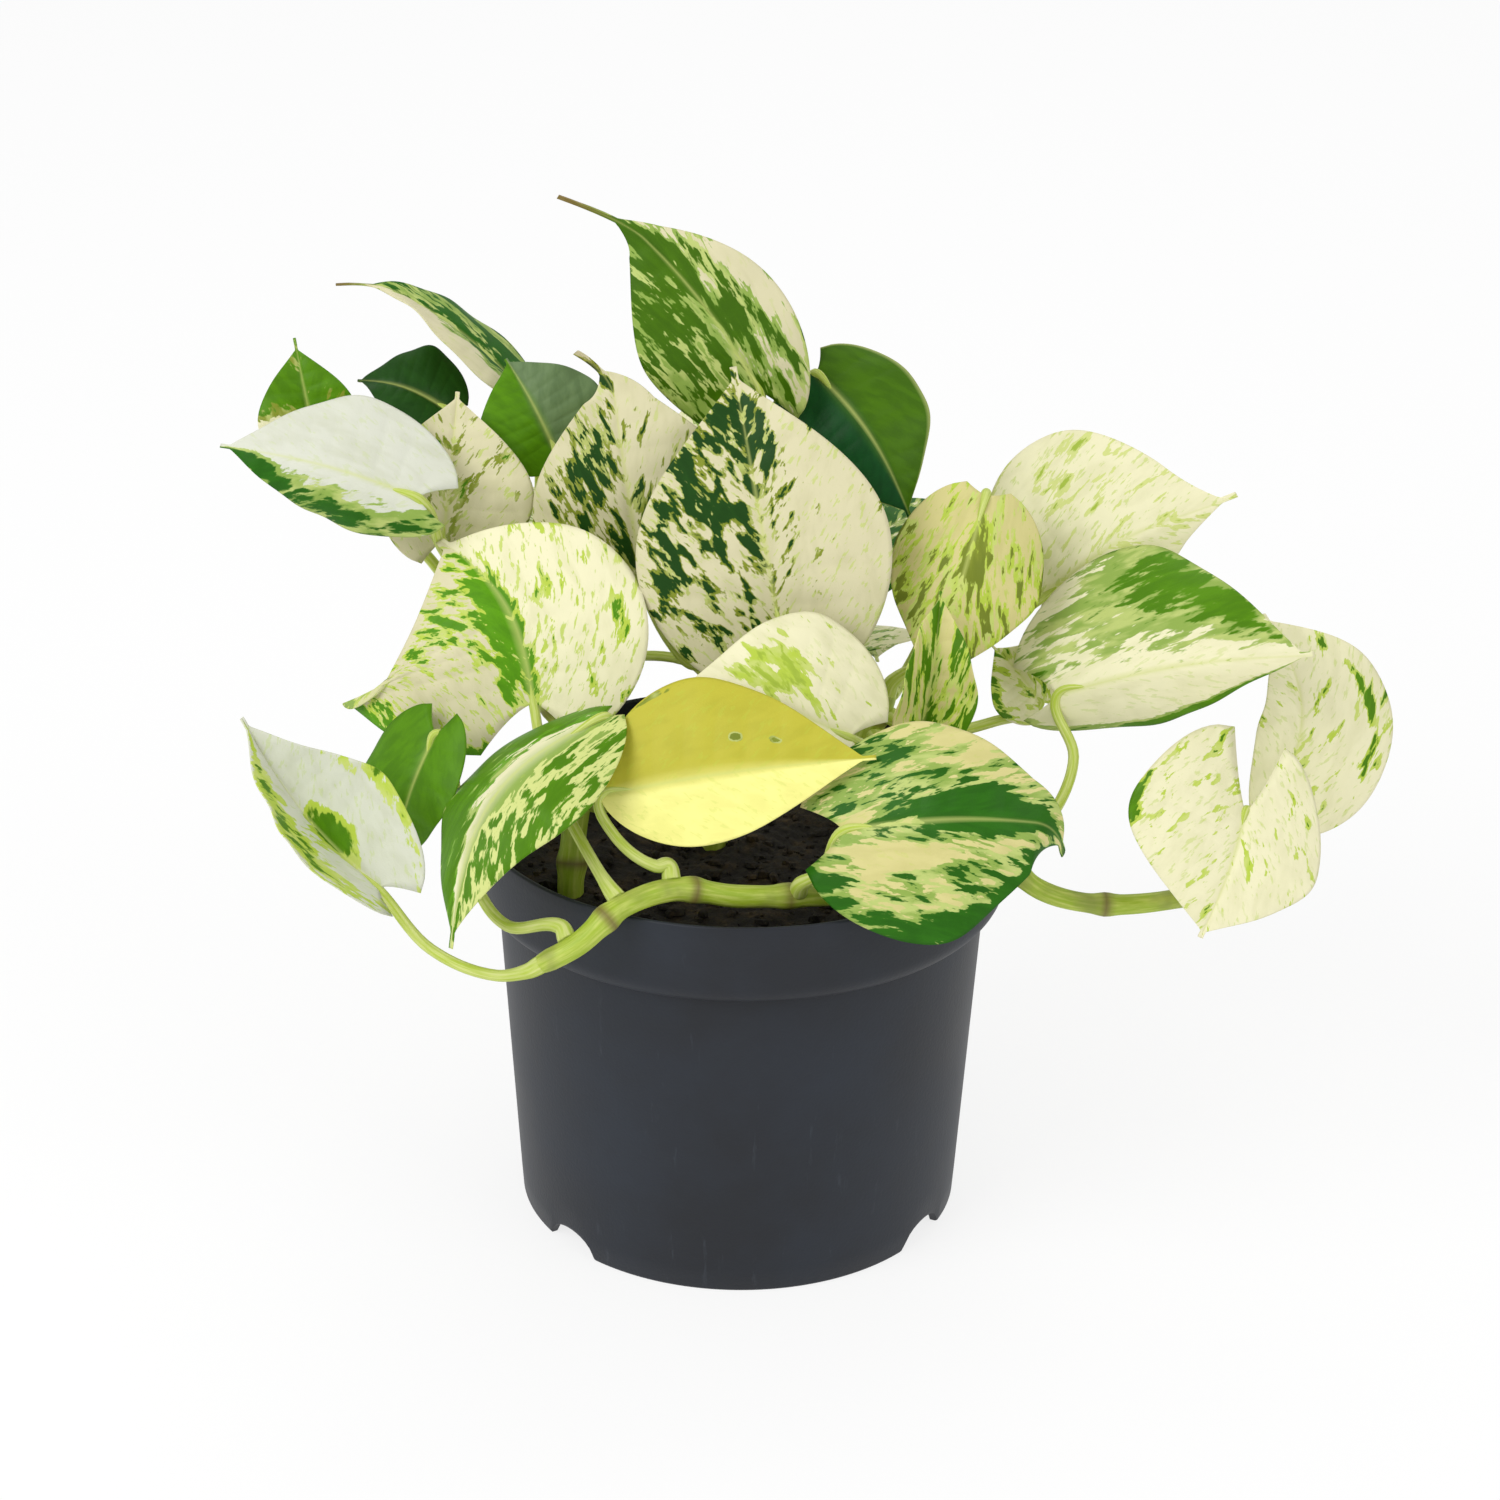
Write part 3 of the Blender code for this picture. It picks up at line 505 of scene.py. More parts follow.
# a leaf: base and tip of its midrib, the way its upper side looks, its left and right half widths, the
# vine it grows from and how far along, the points its stalk passes, and how it bends
leaves = {
    "leaf_top": dict(
        base=(3, 18, 186), tip=(-31, 27, 226), face=(-0.2, -0.85, 0.35), left=18, right=15,
        stem="vine_centre", along=1.0, via=[(-1, 19, 170)], fold=(6, 14), curl=(-10, -24), sway=-3,
        hook=(-10, 0, 1), tail=0.14),
    "leaf_top_right": dict(
        base=(15, 29, 187), tip=(36, 14, 159), face=(0.35, -0.7, 0.6), left=16, right=20,
        stem="vine_centre", along=0.9, via=[(10, 24, 160), (14, 32, 178)], fold=(16, -24), curl=(-20, -30),
        arch=5, lobe=0.1),
    "leaf_centre": dict(
        base=(8, -10, 140), tip=(-3, 10, 195), face=(0, -0.85, 0.5), left=27, right=26, stem="vine_centre",
        along=0.5, via=[(0, 0, 122)], fold=(8, 18), curl=(-16, -22), arch=4),
    "leaf_centre_left": dict(
        base=(-22, 8, 144), tip=(-30, 15, 198), face=(-0.1, -0.9, 0.4), left=21, right=26,
        stem="vine_centre", along=0.62, via=[(-16, 10, 130)], fold=(4, 10), curl=(-14, -14),
        hook=(-7, 0, -2), tail=0.12),
    "leaf_front_left": dict(
        base=(-45, -18, 128), tip=(-66, 5, 156), face=(-0.05, -0.75, 0.65), left=45, right=27,
        stem="vine_front", along=0.66, via=[(-31, -48, 105), (-38, -35, 112), (-43, -24, 120)],
        fold=(6, 16), curl=(-56, -16), arch=4, sway=-5, lobe=0.2),
    "leaf_under_left": dict(
        base=(-65.5, -26, 124.5), tip=(-74, -36.5, 94), face=(-0.65, -0.7, 0.3), left=11, right=15,
        stem="vine_front", along=0.86, via=[(-49, -54, 93), (-57, -43, 99), (-61, -30.5, 112)], fold=(5, 9),
        tail=0.1),
    "leaf_drape": dict(
        base=(-29, -34, 133), tip=(-60, -68, 95), face=(-0.5, -0.45, 0.75), left=17, right=21,
        stem="vine_front_left", along=0.95, via=[(-29, -28, 121)], fold=(-15, -15), arch=10, sway=-4,
        lobe=0.05, heel=0.1),
    "leaf_far_left_low": dict(
        base=(-76, -53, 101), tip=(-105, -40, 134), face=(0.45, -0.6, 0.6), left=21, right=18,
        stem="vine_front", along=1.0, via=[(-51, -63, 86), (-65, -59, 90)], fold=(34, 42), curl=(20, 10),
        arch=-5),
    "leaf_far_left": dict(
        base=(-70, 0, 168), tip=(-113, 6, 177), face=(-0.1, -0.55, 0.8), left=13, right=18,
        stem="vine_left", along=1.0, via=[(-66, 8, 153)], fold=(-34, 10), curl=(-50, -14)),
    "leaf_left_pale": dict(
        base=(-66, 12, 153), tip=(-63, 22, 184), face=(0.1, -0.9, 0.4), left=15, right=18, stem="vine_left",
        along=0.85, via=[(-58, 14, 144)], fold=(14, 14)),
    "leaf_left_green": dict(
        base=(-42, 24, 170), tip=(-53, 32, 188), face=(0, -0.7, 0.7), left=14, right=14, stem="vine_left",
        along=0.6, via=[(-44, 22, 148)], fold=(10, 16)),
    "leaf_left_spire": dict(
        base=(-50, 40, 178), tip=(-87, 44, 203.5), face=(0.45, -0.1, 0.85), left=11, right=11,
        stem="vine_left", along=0.7, via=[(-46, 28, 146), (-47, 38, 170)], hook=(-4, 0, -3), tail=0.14),
    "leaf_left_peak": dict(
        base=(-94, 24, 169), tip=(-99, 30, 193), face=(0, -0.8, 0.5), left=11, right=10, stem="vine_left",
        along=0.95, via=[(-72, 20, 148), (-86, 24, 158)], tail=0.12),
    "leaf_left_dark": dict(
        base=(-66, 32, 176), tip=(-86, 36, 181), face=(0, -0.5, 0.85), left=9, right=12, stem="vine_left",
        along=0.8, via=[(-57, 26, 146), (-63, 31, 164)]),
    "leaf_yellow": dict(
        base=(-30, -42, 118), tip=(28, -45, 129), face=(0, -0.55, 0.85), left=21, right=14,
        stem="vine_front", along=0.5, via=[(-18, -49, 105), (-27, -46, 111)], fold=(26, -20), arch=2,
        lobe=0.0, heel=0.05),
    "leaf_cream": dict(
        base=(23, -31, 127), tip=(-14, -28, 137), face=(0.1, -0.6, 0.75), left=12, right=22,
        stem="vine_centre_right", along=0.5, via=[(25, -12, 116)], fold=(0, 20), arch=4),
    "leaf_front_right": dict(
        base=(21, -51, 115), tip=(72, -49, 115), face=(0, -0.7, 0.7), left=21, right=25, stem="vine_front",
        along=0.25, via=[(17, -49, 104)], fold=(10, -10), curl=(-20, -24), arch=7, hook=(-4, 4, -8)),
    "leaf_right_upper": dict(
        base=(52, 8, 167), tip=(40, -10, 128), face=(0, -0.9, 0.4), left=18, right=17,
        stem="vine_centre_right", along=0.95, via=[(42, 14, 136), (51, 18, 158)], fold=(-10, -14), arch=4,
        lobe=0.05),
    "leaf_right_young": dict(
        base=(38, -16, 120), tip=(42, -10, 152), face=(0.2, -0.9, 0.3), left=11, right=11,
        stem="vine_centre_right", along=0.7, via=[(35, -4, 112)], fold=(32, 32), curl=(20, 20), lobe=0.06),
    "leaf_right_pale": dict(
        base=(66, 20, 138), tip=(105, 22, 160), face=(0, -0.75, 0.65), left=29, right=14,
        stem="vine_centre_right", along=1.0, via=[(48, 14, 127)], fold=(10, -30), arch=4, sway=2,
        hook=(3, 0, 2)),
    "leaf_right_low": dict(
        base=(68, -6, 126), tip=(123, -10, 138), face=(-0.1, -0.7, 0.7), left=32, right=13,
        stem="vine_right", along=0.42, via=[(68, -18, 104), (72, -12, 114)], fold=(0, -40), curl=(-24, -30),
        arch=6),
    "leaf_right_small": dict(
        base=(66, 9, 117), tip=(55, 13, 129), face=(0, -0.8, 0.6), left=9, right=9,
        stem="vine_centre_right", along=0.85, via=[(42, 4, 112), (56, 6, 114)]),
    "leaf_right_heart": dict(
        base=(108, -29, 110), tip=(98, -46, 88), face=(0.1, -0.9, 0.5), left=18, right=24,
        stem="vine_right", along=0.93, via=[(112, -18, 98)], fold=(14, 14), curl=(-30, -30), arch=5,
        lobe=0.6),
    "leaf_far_right": dict(
        base=(119, 0, 99), tip=(114, 12, 138), face=(0.3, -0.85, 0.4), left=10, right=22, stem="vine_right",
        along=1.0, via=[(118, -4, 92)], fold=(10, 10), sway=-6),
    "leaf_back_left": dict(
        base=(-30, 44, 128), tip=(-62, 70, 140), face=(-0.3, 0.3, 0.9), left=19, right=19, stem="vine_back",
        along=0.8, via=[(-16, 46, 122)], arch=6),
    "leaf_back_middle": dict(
        base=(-4, 60, 122), tip=(-8, 92, 112), face=(0, 0.5, 0.85), left=20, right=21, stem="vine_back",
        along=0.7, via=[(-2, 52, 118)], arch=7),
    "leaf_back_right": dict(
        base=(20, 50, 126), tip=(50, 72, 138), face=(0.3, 0.3, 0.9), left=18, right=19, stem="vine_back",
        along=0.9, via=[(8, 48, 122)], arch=6),
    "leaf_back_high": dict(
        base=(-4, 56, 146), tip=(0, 84, 162), face=(0, -0.4, 0.9), left=17, right=17, stem="vine_back",
        along=1.0, via=[(-4, 50, 132)], arch=5),
    "leaf_back_low_left": dict(
        base=(-34, 58, 106), tip=(-50, 82, 86), face=(-0.3, 0.6, 0.7), left=16, right=17, stem="vine_back",
        along=0.45, via=[(-12, 48, 108)], arch=6),
    "leaf_back_low_right": dict(
        base=(22, 60, 108), tip=(32, 86, 92), face=(0.2, 0.6, 0.7), left=16, right=16, stem="vine_back",
        along=0.55, via=[(10, 50, 110)], arch=6),
}
# how each leaf is coloured: green is how much of it is green, grain how strongly it is streaked, slant the
# streaks' lean toward the tip in degrees, hues its two greens, and cream its ground (two names are its left
# and right halves), where the dimmed white and the darkened beige cream are painted shade; a spot is where
# across, where along, how wide, how long, and how much greener
leafLooks = {
    "leaf_top": dict(
        green=0.3, grain=0.9, slant=80, hues=("sage", "moss"), cream=("sage", "beige"), brown=0.9,
        spots=[(0.45, 0.6, 0.5, 0.6, 0.35), (-0.9, 0.35, 0.3, 0.5, -0.45), (-0.3, 0.8, 0.6, 0.3, 0.35),
        (0.6, 0.2, 0.5, 0.25, -0.2)]),
    # the right half's inner green is a dark bluish green: painted shade on the half turned from the light
    "leaf_top_right": dict(green=1.1, grain=0.3, hues=("mid", ("moss", "blue")), margin=0.6),
    "leaf_centre": dict(
        green=0.2, grain=1.5, slant=48, hues=("olive", "dark"), cream="beige", flecks=0.5,
        spots=[(0.3, 0.6, 0.5, 0.5, 0.28), (-0.7, 0.4, 0.45, 0.55, -1.0), (-0.4, 0.82, 0.28, 0.14, 0.9),
        (0.3, 0.1, 0.9, 0.26, -0.45)]),
    "leaf_centre_left": dict(
        green=-0.06, grain=1.3, slant=65, hues=("olive", "dark"), cream="beige", brown=0.4, flecks=0.4,
        spots=[(0.45, 0.45, 0.25, 0.3, 0.5), (-0.7, 0.6, 0.35, 0.5, -0.3)]),
    "leaf_front_left": dict(
        green=-0.12, grain=1.1, hues=("lime", "bright"), flecks=0.8, cream=("beige", "cream"),
        spots=[(0.06, 0.42, 0.13, 0.5, 1.0), (-0.6, 0.4, 0.45, 0.6, -0.1), (0.5, 0.65, 0.4, 0.3, 0.4),
        (0.97, 0.1, 0.14, 0.25, 0.9), (0.5, 0.2, 0.35, 0.2, -0.2)]),
    "leaf_under_left": dict(green=0.9, grain=0.35, hues=("bright", "mid")),
    "leaf_drape": dict(
        green=0.2, grain=0.8, slant=78, cream=("sage", "cream"), hues=(("pale", "bright"), "mid"),
        spots=[(-0.7, 0.5, 0.4, 0.9, 0.6), (0.0, 0.5, 0.13, 0.9, -0.9), (0.6, 0.5, 0.45, 0.6, 0.22)]),
    "leaf_far_left_low": dict(
        green=-0.3, grain=0.4, hues=("lime", "mid"), cream="white", flecks=0.3,
        spots=[(-0.1, 0.32, 0.22, 0.16, 1.1), (0.7, 0.5, 0.4, 0.7, 0.75), (-0.95, 0.3, 0.25, 0.4, 0.5)]),
    "leaf_far_left": dict(
        green=-0.25, grain=0.4, slant=60, cream="white", spots=[(0.75, 0.35, 0.55, 0.8, 0.68),
        (0.5, 0.88, 0.6, 0.2, 0.55)]),
    "leaf_left_pale": dict(
        green=-0.22, hues=("olive", "mid"), cream="beige", flecks=0.6,
        spots=[(-0.1, 0.3, 0.15, 0.25, 0.4)]),
    "leaf_left_green": dict(green=0.85, grain=0.4, hues=("sage", ("mid", "grey"))),
    "leaf_left_spire": dict(
        green=0.35, grain=0.8, slant=80, hues=("sage", "deep"), cream=("beige", "sage"), brown=0.9,
        spots=[(0.8, 0.4, 0.35, 0.7, -0.9)]),
    "leaf_left_peak": dict(
        green=0.55, grain=0.5, hues=("olive", "mid"), spots=[(0, 0.28, 1.2, 0.09, -1.2)]),
    "leaf_left_dark": dict(green=1.1, grain=0.3, hues=("mid", "dark")),
    "leaf_yellow": dict(
        green=-0.8, grain=0.4, hues=("olive", "olive"), cream=("yellow", "lemon"),
        spots=[(0.4, 0.5, 0.08, 0.035, 1.4), (0.42, 0.64, 0.08, 0.035, 1.5), (0.95, 0.2, 0.1, 0.2, 0.9)]),
    "leaf_cream": dict(green=-0.25, grain=0.7, hues=("lime", "lime"), spots=[(-0.35, 0.5, 0.4, 0.28, 0.6)]),
    "leaf_front_right": dict(
        green=0.08, grain=0.8, slant=72, cream="straw", spots=[(0.1, 0.72, 0.3, 0.4, 1.3),
        (0.7, 0.35, 0.4, 0.5, 0.1), (-0.3, 0.45, 0.15, 0.5, -0.25), (-0.95, 0.5, 0.16, 0.6, 0.8),
        (-0.55, 0.6, 0.2, 0.3, 0.2)]),
    "leaf_right_upper": dict(
        green=0.08, grain=1.1, slant=70, hues=("lime", "olive"), cream="straw", flecks=0.6,
        spots=[(0.1, 0.25, 0.15, 0.2, 0.4)]),
    "leaf_right_young": dict(green=0.2, grain=1.2, slant=75, hues=("lime", "mid"), cream="straw"),
    "leaf_right_pale": dict(green=-0.12, slant=60, hues=("pale", "lime"), flecks=0.5),
    "leaf_right_low": dict(
        green=-0.12, grain=0.4, slant=70, hues=("sage", "mid"), flecks=0.3,
        spots=[(0.55, 0.3, 0.5, 0.55, 0.38), (0.8, 0.66, 0.32, 0.32, 0.5), (-0.4, 0.5, 0.4, 0.6, -0.25),
        (-0.97, 0.45, 0.14, 0.45, 1.0)]),
    "leaf_right_small": dict(green=-0.02, hues=("lime", "mid"), spots=[(0.9, 0.5, 0.2, 0.5, 0.4)]),
    "leaf_right_heart": dict(
        green=-0.16, grain=0.9, slant=55, hues=("lime", "mid"), flecks=0.4,
        spots=[(-1.0, 0.28, 0.07, 0.1, 1.3)]),
    "leaf_far_right": dict(
        green=-0.25, hues=("lime", "mid"), flecks=0.4, spots=[(-0.75, 0.5, 0.06, 0.2, 1.0)]),
    "leaf_back_left": dict(green=0.1),
    "leaf_back_middle": dict(spots=[(0.4, 0.5, 0.3, 0.3, 0.3)]),
    "leaf_back_right": dict(green=0.35),
    "leaf_back_high": dict(green=-0.05),
    "leaf_back_low_left": dict(green=0.25),
    "leaf_back_low_right": dict(green=0.05),
}
lookDefaults = {"green": 0.0, "grain": 1.0, "slant": 50, "hues": ("sage", "deep"), "cream": "cream",
                "flecks": 0.2, "brown": 0.0, "brownFrom": 0.86, "margin": 0.0, "marginFrom": 0.94,
                "spots": [], "seedStep": 37.0}
leafColours = {
    # the first white and the beige here are white and cream dimmed: painted shade for leaves and leaf halves
    # in shade
    "white": (214, 216, 200), "cream": (235, 231, 192), "beige": (216, 210, 172), "straw": (212, 204, 138),
    "yellow": (190, 184, 60), "lemon": (246, 242, 146), "dark": (32, 74, 18), "deep": (42, 104, 10),
    # the dark bluish green after moss is painted shade for leaf_top_right's shaded half
    "moss": (70, 112, 4), "blue": (16, 76, 30), "mid": (86, 138, 8), "bright": (92, 154, 12),
    "olive": (132, 144, 46), "sage": (142, 170, 78), "lime": (182, 204, 72), "grey": (108, 132, 88),
    "pale": (208, 216, 134), "brown": (120, 96, 52), "rib": (204, 212, 122), "stalk": (176, 196, 72),
}
# millimetres, degrees for each half's fold and curl, and shares of the length; arch and sway bow the midrib,
# hook moves its end from hookFrom on, tail is the thin tip, lobe and heel shape the base, a wave is count,
# shift and share, and stalkUnder says where along the midrib the stalk ends and how far below
leafDefaults = {
    "fold": (12, 12), "curl": (-20, -20), "arch": 3.0, "sway": 0.0, "hook": (0, 0, 0), "tail": 0.06,
    "lobe": 0.16, "heel": 0.26, "sweep": 0.16, "rows": 84, "halfColumns": 26, "thickness": 0.5, "wave": 0.9,
    "waves": ((1.6, 0.8, 0.6), (3.3, 1.7, 0.4)), "veins": 9, "veinDepth": 0.22, "ribWidth": 1.1,
    "ribDent": 0.35, "ribBulge": 0.45, "hookFrom": 0.78, "hookReach": 0.22, "rowEase": 1.15,
    "stalk": 1.4, "stalkEnd": 0.35, "sheath": (0.45, 5.0), "stalkSides": 14, "stalkSteps": 10,
    "stalkPlace": 2, "stalkSink": 0.4, "stalkSinkAtEnd": 0.6, "stalkStub": 2.8,
    "stalkUnder": ((0.0, 0.5), (0.16, 0.7)),
}


def midrib(leaf, u):
    # base + chord u, bowed up and sideways by sin(pi u) and hooked near the tip, with the blade's
    # left and upward directions there
    base, tip = np.array(leaf["base"], float), np.array(leaf["tip"], float)
    chord = tip - base
    ahead = unit(chord)
    left = unit(np.cross(leaf["face"], ahead))
    up = np.cross(ahead, left)

    def place(u):
        inside = np.clip(u, 0, 1)[..., None]
        past = u[..., None] - inside
        bow = np.sin(math.pi * inside) + math.pi * past
        late = np.clip((inside - leaf["hookFrom"]) / leaf["hookReach"], 0, 1) ** 2
        return (base + chord * u[..., None] + bow * (up * leaf["arch"] + left * leaf["sway"])
                + late * np.array(leaf["hook"], float))

    ahead = unit(place(u + 1e-3) - place(u - 1e-3))
    side = unit(np.cross(up, ahead))
    return place(u), side, np.cross(ahead, side)


def blade(leaf, s, t):
    # rows run along the side veins: s + sweep t^1.5 along the midrib, and out by the half's width times
    # heel (1 - s)^8 + sin(pi s^0.62)^0.9 (1 - 0.3 s^5) + 0.03, on an arc from fold that bends by curl
    body = np.clip(s / (1 - leaf["tail"]), 0, 1)
    swell = np.sin(math.pi * body**0.62) ** 0.9 * (1 - 0.3 * body**5)
    share = leaf["heel"] * (1 - s) ** 8 + swell + 0.03
    sweep = -leaf["lobe"] * (1 - s) ** 6 + leaf["sweep"] * np.sqrt(s) * (1 - s)
    half = np.where(t > 0, leaf["left"], leaf["right"])
    fold = np.radians(np.where(t > 0, *leaf["fold"]))
    curl = np.radians(np.where(t > 0, *leaf["curl"])) + 1e-4
    reach = share * np.abs(t)
    across = half / curl * (np.sin(fold + curl * reach) - np.sin(fold))
    lift = -half / curl * (np.cos(fold + curl * reach) - np.cos(fold))
    along = s + sweep * np.abs(t) ** 1.5
    points, left, above = midrib(leaf, along)
    points = points + left * (np.sign(t) * across)[..., None] + above * lift[..., None]
    return points, half * reach * np.sign(t), along


def bladeRelief(leaf, s, t):
    # how far the middle surface moves: waves that grow with t^2.5, and dents between the side veins
    edge, side = np.abs(t), np.sign(t)
    phases = np.random.default_rng(leaf["look"]["seed"]).uniform(0, 2 * math.pi, len(leaf["waves"]))
    wave = sum(np.sin(2 * math.pi * count * s + phase + shift * side) * share
               for phase, (count, shift, share) in zip(phases, leaf["waves"])) * edge**2.5
    wave = leaf["wave"] * wave * np.sin(math.pi * np.clip(s * 1.05, 0, 1)) ** 0.5
    pillow = np.abs(np.sin(math.pi * leaf["veins"] * s + 0.5 * side)) ** 0.6
    fade = np.clip(edge * 5, 0, 1) * np.clip((1 - edge) * 3, 0, 1) * np.clip((1 - s) * 4, 0, 1)
    return wave + leaf["veinDepth"] * (pillow - 0.5) * fade


def bladeFields(leaf, s, t, across, along, ribWidth):
    # what the leaf's shader reads at each point of one side of the blade
    look = leaf["look"]
    length = np.linalg.norm(np.subtract(leaf["tip"], leaf["base"]))
    # along a streak, across the streaks, and a third way that differs on the two halves
    slant = math.radians(look["slant"])
    out, up = np.abs(across), along * length
    sine, cosine = math.sin(slant), math.cos(slant)
    place = np.stack([out * cosine + up * sine, up * cosine - out * sine,
                      look["seedStep"] * look["seed"] + 0.25 * across], axis=-1)
    green = look["green"] + 0 * s
    for spotAcross, spotAlong, reachAcross, reachAlong, amount in look["spots"]:
        away = ((t - spotAcross) / reachAcross) ** 2 + ((s - spotAlong) / reachAlong) ** 2
        green = green + amount * np.exp(-away)
    return {
        "leafPlace": place.reshape(-1, 3), "green": green.ravel(),
        "brown": np.clip((s - look["brownFrom"]) / 0.12, 0, 1).ravel() * look["brown"],
        "rib": np.exp(-(across / (0.5 * ribWidth)) ** 2).ravel() * (1 - s.ravel()) ** 0.3,
        "leftHalf": np.clip(0.5 + 4 * t, 0, 1).ravel(),
        "margin": np.clip((np.abs(t) - look["marginFrom"]) / 0.05, 0, 1).ravel() * look["margin"],
    }


def bladeMesh(leaf):
    # middle + normal (relief + thick - dent rib) above, middle + normal (relief - thick - bulge rib) below
    rows, columns = leaf["rows"], 2 * leaf["halfColumns"] + 1
    s = np.linspace(0, 1, rows)[:, None] ** leaf["rowEase"] + np.zeros((1, columns))
    t = np.linspace(-1, 1, columns)[None, :] + np.zeros((rows, 1))
    middle, across, along = blade(leaf, s, t)
    normal = unit(np.cross(np.gradient(middle, axis=0), np.gradient(middle, axis=1)))
    _, _, above = midrib(leaf, s)
    normal = normal * np.sign((normal * above).sum(-1).mean())
    middle = middle + normal * bladeRelief(leaf, s, t)[..., None]
    ribWidth = leaf["ribWidth"] * (1 - 0.7 * s)
    rib = np.exp(-(across / ribWidth) ** 2) * (1 - s) ** 0.5
    thick = 0.5 * leaf["thickness"] * (1 - 0.55 * np.abs(t) ** 6)
    upper = middle + normal * (thick - leaf["ribDent"] * rib)[..., None]
    lower = middle - normal * (thick + leaf["ribBulge"] * rib)[..., None]
    points = np.vstack([upper.reshape(-1, 3), lower.reshape(-1, 3)])
    count = rows * columns
    over = gridFaces(rows, columns, False)
    index = np.arange(count).reshape(rows, columns)
    rim = np.concatenate([index[0], index[1:, -1], index[-1, -2::-1], index[-2:0:-1, 0]])
    ahead = np.roll(rim, -1)
    wall = np.stack([ahead, rim, rim + count, ahead + count], axis=-1)
    faces = np.vstack([over, over[:, ::-1] + count, wall])
    first = points[over[:, :3]]
    facing = (np.cross(first[:, 1] - first[:, 0], first[:, 2] - first[:, 0])
              * normal.reshape(-1, 3)[over[:, 0]]).sum()
    if facing < 0:
        faces = faces[:, ::-1]
    fields = {key: np.concatenate([values, values])
              for key, values in bladeFields(leaf, s, t, across, along, ribWidth).items()}
    fields["under"] = np.repeat([0.0, 1.0], count)
    fields["stalk"] = np.zeros(2 * count)
    return points, faces, fields


def stalkPath(leaf):
    # from the vine's skin through the stalk's own points to the blade, and a little way under its midrib
    radius, points = vines[leaf["stem"]]
    depth = vineLooks["rootDepth"]
    stem = vinePath(points, (0, depth / 2), vineLooks["cadSteps"])
    position = leaf["along"] * (len(stem) - 3) + 2
    index = min(int(position), len(stem) - 2)
    share = position - index
    centre = stem[index] * (1 - share) + stem[index + 1] * share
    axis = unit(stem[index + 1] - stem[index])
    out = np.array(leaf["via"][0], float) - centre
    out = unit(out - axis * (out @ axis))
    start = centre + out * (radius - leaf["stalkSink"])
    second = centre + out * (radius + leaf["stalkStub"])
    if leaf["along"] == 1:
        start, second = centre - axis * leaf["stalkSinkAtEnd"], centre + axis * leaf["stalkStub"]
    places, depths = np.array(leaf["stalkUnder"]).T
    ribPoints, _, above = midrib(leaf, places)
    ends = ribPoints - above * depths[:, None]
    return smoothPath([start, second, *leaf["via"], *ends], leaf["stalkSteps"])


def stalkMesh(leaf):
    # radius stalk (1 - u / 4), times 1 + swell exp(-(run / reach)^2) for the sheath at its foot, and
    # falling to stalkEnd over the last span
    path = stalkPath(leaf)
    run = alongPath(path)
    swell, reach = leaf["sheath"]
    sheath = 1 + swell * np.exp(-(run / reach) ** 2)
    radius = leaf["stalk"] * (1 - 0.25 * np.linspace(0, 1, len(path))) * sheath
    ending = np.clip((run[-1] - run) / (run[-1] - run[-1 - leaf["stalkSteps"]]), 0, 1)
    least = leaf["stalkEnd"]
    radius = np.where(ending < 1, least + (radius - least) * ending, radius)
    points, faces = tubeMesh(path, radius, leaf["stalkSides"])
    return points, faces, tubePlaces(run, leaf["stalkSides"], leaf["stalkPlace"])


# noises along the side veins, long one way and narrow the other: stretch, shift, detail, roughness and
# distortion; then each noise's share in the greenness, and where the outer and the inner green set in
leafNoises = {
    "broad": ((0.05, 0.11, 1), (0, 0, 0), 2, 0.5, 0.4), "streak": ((0.085, 0.4, 1), (3, 7, 0), 4, 0.55, 0.3),
    "fleck": ((0.32, 1.1, 1), (11, 2, 0), 3, 0.55, 0.2), "wash": ((0.08, 0.2, 1), (20, 5, 0), 3, 0.5, 0.4),
}
leafGreens = {
    "broad": 1.2, "streak": 2.4, "fleck": 0.8, "outer": (0.07, 0.13), "inner": (0.3, 0.4),
    "groundShade": (0.84, 0.85, 0.76, 1), "innerShade": (0.6, 0.66, 0.6, 1),
}


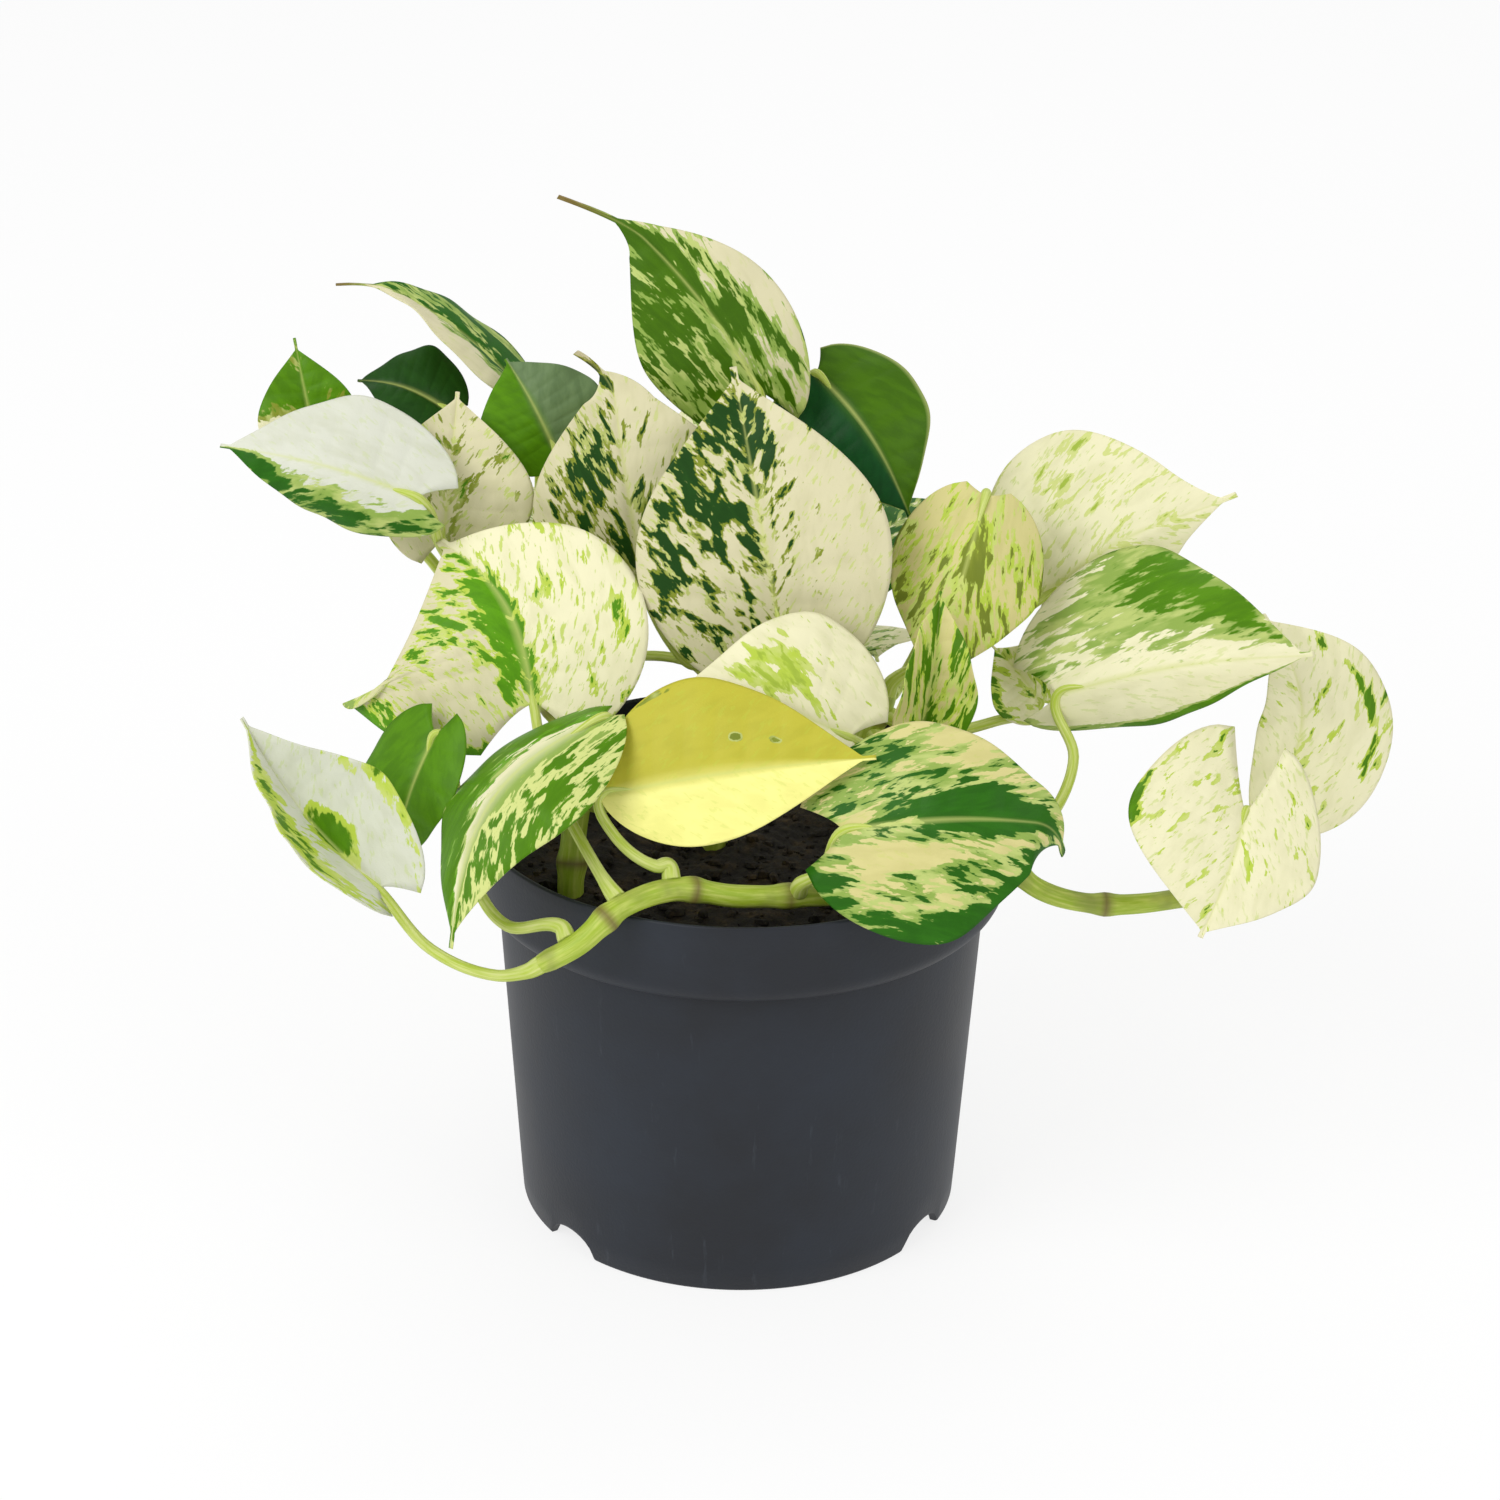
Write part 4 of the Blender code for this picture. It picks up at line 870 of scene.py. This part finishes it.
def leafSkin(name, look):
    # greenness = the leaf's own bias + grain times the sum of share (noise - 0.5); the ground turns to the
    # outer green and then to the inner green as it rises
    shader = Shader(bpy.data.materials.new(name))
    place = shader.attribute("leafPlace", 1)
    fields = ("green", "leftHalf", "rib", "margin", "under", "brown", "stalk")
    green, leftHalf, rib, margin, under, brown, stalk = [shader.attribute(field, 2) for field in fields]
    broad, streak, fleck, wash = [shader.noise(shader.stretch(place, scale, shift), 1.0, *form)
                                  for scale, shift, *form in leafNoises.values()]

    def tone(names):
        # one colour, or the left half's and the right half's
        if isinstance(names, str):
            return screenColour(*leafColours[names])
        return shader.mix(leftHalf, tone(names[1]), tone(names[0]))

    field = green
    for key, noise in {"broad": broad, "streak": streak, "fleck": fleck}.items():
        field = field + (noise - 0.5) * (leafGreens[key] * look["grain"])
    base = shader.mix(wash.rise(0.4, 0.7) * 0.5, tone(look["cream"]), leafGreens["groundShade"], "MULTIPLY")
    base = shader.mix(fleck.rise(0.57, 0.64) * look["flecks"], base, tone("lime"))
    outer = shader.mix(wash.rise(0.42, 0.62) * 0.6, tone(look["hues"][0]), tone("pale"))
    base = shader.mix(field.rise(*leafGreens["outer"]), base, outer)
    shade = streak.rise(0.35, 0.65) * 0.6
    inner = shader.mix(shade, tone(look["hues"][1]), leafGreens["innerShade"], "MULTIPLY")
    base = shader.mix(field.rise(*leafGreens["inner"]), base, inner)
    base = shader.mix(rib * 0.6, base, tone("rib"))
    base = shader.mix(margin, base, tone("pale"))
    base = shader.mix(under * 0.35, base, tone("pale"))
    base = shader.mix(brown, base, tone("brown"))
    stalkStreak = shader.noise(shader.stretch(place, (1.2, 0.08, 1)), 1.0, 3, 0.6)
    base = shader.mix(stalk, base, shader.mix(stalkStreak.rise(0.35, 0.65), tone("stalk"), tone("pale")))
    cells = shader.noise(place, 2.6, 2, 0.5)
    normal = shader.bump(streak * 0.5 + cells * 0.35, 0.22, 0.0005)
    return shader.finish(Base_Color=base, Roughness=0.38 + cells * 0.14 + under * 0.14,
                         Specular_IOR_Level=0.15, Normal=normal)


def makeLeaves():
    # each leaf's blade and stalk make one piece; a stalk's point has only its place and its own mark
    for seed, (name, changes) in enumerate(leaves.items(), 1):
        leaf = {**leafDefaults, **changes, "look": {**lookDefaults, "seed": seed, **leafLooks[name]}}
        points, faces, fields = bladeMesh(leaf)
        stalk, stalkFaces, places = stalkMesh(leaf)
        count, extra = len(points), len(stalk)
        values = {"leafPlace": places, "stalk": np.ones(extra)}
        fields = {key: np.concatenate([field, values.get(key, np.zeros(extra))])
                  for key, field in fields.items()}
        title = titleOf(name)
        groups = [faces, *(group + count for group in stalkFaces)]
        addPiece(title, np.vstack([points, stalk]), groups, [name],
                 leafSkin(title + "Skin", leaf["look"]), fields)


# millimetres and degrees, the floor in metres; a lamp is its place and size in metres, and watts
studio = {
    "lookAt": (1.6, 0.0, 109.0), "distance": 940.0, "elevation": 25.5, "roll": 0.7, "lens": 102.3,
    "sensor": 36.0, "floorSize": 9.0, "floorColour": 0.95, "floorRoughness": 0.9, "floorGlow": 0.8,
    "skyLight": 0.6, "lampAim": (0, 0, 0.1),
    "lamps": [((-0.9, -0.8, 1.1), 0.9, 11.5), ((0.9, -0.7, 0.9), 0.8, 3.6), ((0.1, 0.9, 1.3), 0.8, 4.0)],
}


def makeCamera():
    # target + back distance, where back tilts up by the elevation, then rolled about the view
    elevation = math.radians(studio["elevation"])
    target = Vector((np.array(studio["lookAt"]) + potAxis) * mm)
    back = Vector((0, -math.cos(elevation), math.sin(elevation)))
    camera = bpy.data.cameras.new("camera")
    camera.lens, camera.sensor_width = studio["lens"], studio["sensor"]
    camera.clip_start, camera.clip_end = 0.01, 50
    holder = addObject("camera", camera)
    holder.location = target + back * studio["distance"] * mm
    holder.rotation_euler = (Euler((math.pi / 2 - elevation, 0, 0)).to_matrix()
                             @ Matrix.Rotation(math.radians(studio["roll"]), 3, "Z")).to_euler()
    bpy.context.scene.camera = holder


def floorSurface():
    # a pale floor that camera and glossy rays see glowing, by the share floorGlow
    shader = Shader(bpy.data.materials.new("studioFloor"))
    level = studio["floorColour"]
    shader.finish(Base_Color=(level, level, level, 1), Roughness=studio["floorRoughness"])
    seen = [shader.add("ShaderNodeLightPath", {}, {}, f"Is {ray} Ray") for ray in ("Camera", "Glossy")]
    glow = shader.add("ShaderNodeEmission", {}, {})
    mixed = shader.add("ShaderNodeMixShader", {}, {0: seen[0].either(seen[1]) * studio["floorGlow"],
                                                   1: Signal(shader, shader.surface.outputs[0]), 2: glow})
    shader.feed(shader.tree.nodes["Material Output"], {0: mixed})
    return shader.owner


def makeStudio():
    # the floor, a sky that is white where it is seen and skyLight elsewhere, and the lamps
    half = studio["floorSize"] / 2
    corners = [(-half, -half, 0), (half, -half, 0), (half, half, 0), (-half, half, 0)]
    mesh = bpy.data.meshes.new("studioFloor")
    mesh.from_pydata(corners, [], [(0, 1, 2, 3)])
    mesh.materials.append(floorSurface())
    floor = addObject("studioFloor", mesh)

    world = Shader(bpy.data.worlds.new("studio"), "Background")
    seen = [world.add("ShaderNodeLightPath", {}, {}, f"Is {ray} Ray") for ray in ("Camera", "Transmission")]
    level = world.add("ShaderNodeMapRange", {}, {"Value": seen[0].either(seen[1]),
                                                 "To Min": studio["skyLight"], "To Max": 1.0})
    bpy.context.scene.world = world.finish(Color=(1, 1, 1, 1), Strength=level)

    for index, (place, size, power) in enumerate(studio["lamps"]):
        lamp = bpy.data.lights.new(f"lamp{index}", "AREA")
        lamp.energy, lamp.size = power, size
        holder = addObject(lamp.name, lamp)
        holder.location = place
        aim = Vector(studio["lampAim"]) - Vector(place)
        holder.rotation_euler = aim.to_track_quat("-Z", "Y").to_euler()


bpy.context.scene.view_settings.view_transform = "Standard"
makeCamera()
makeStudio()
print("studio ready")
makePot()
print("pot turned")
makeSoil()
print("soil laid")
makeVines()
print("vines grown")
makeLeaves()
print("leaves grown:", len(leaves))
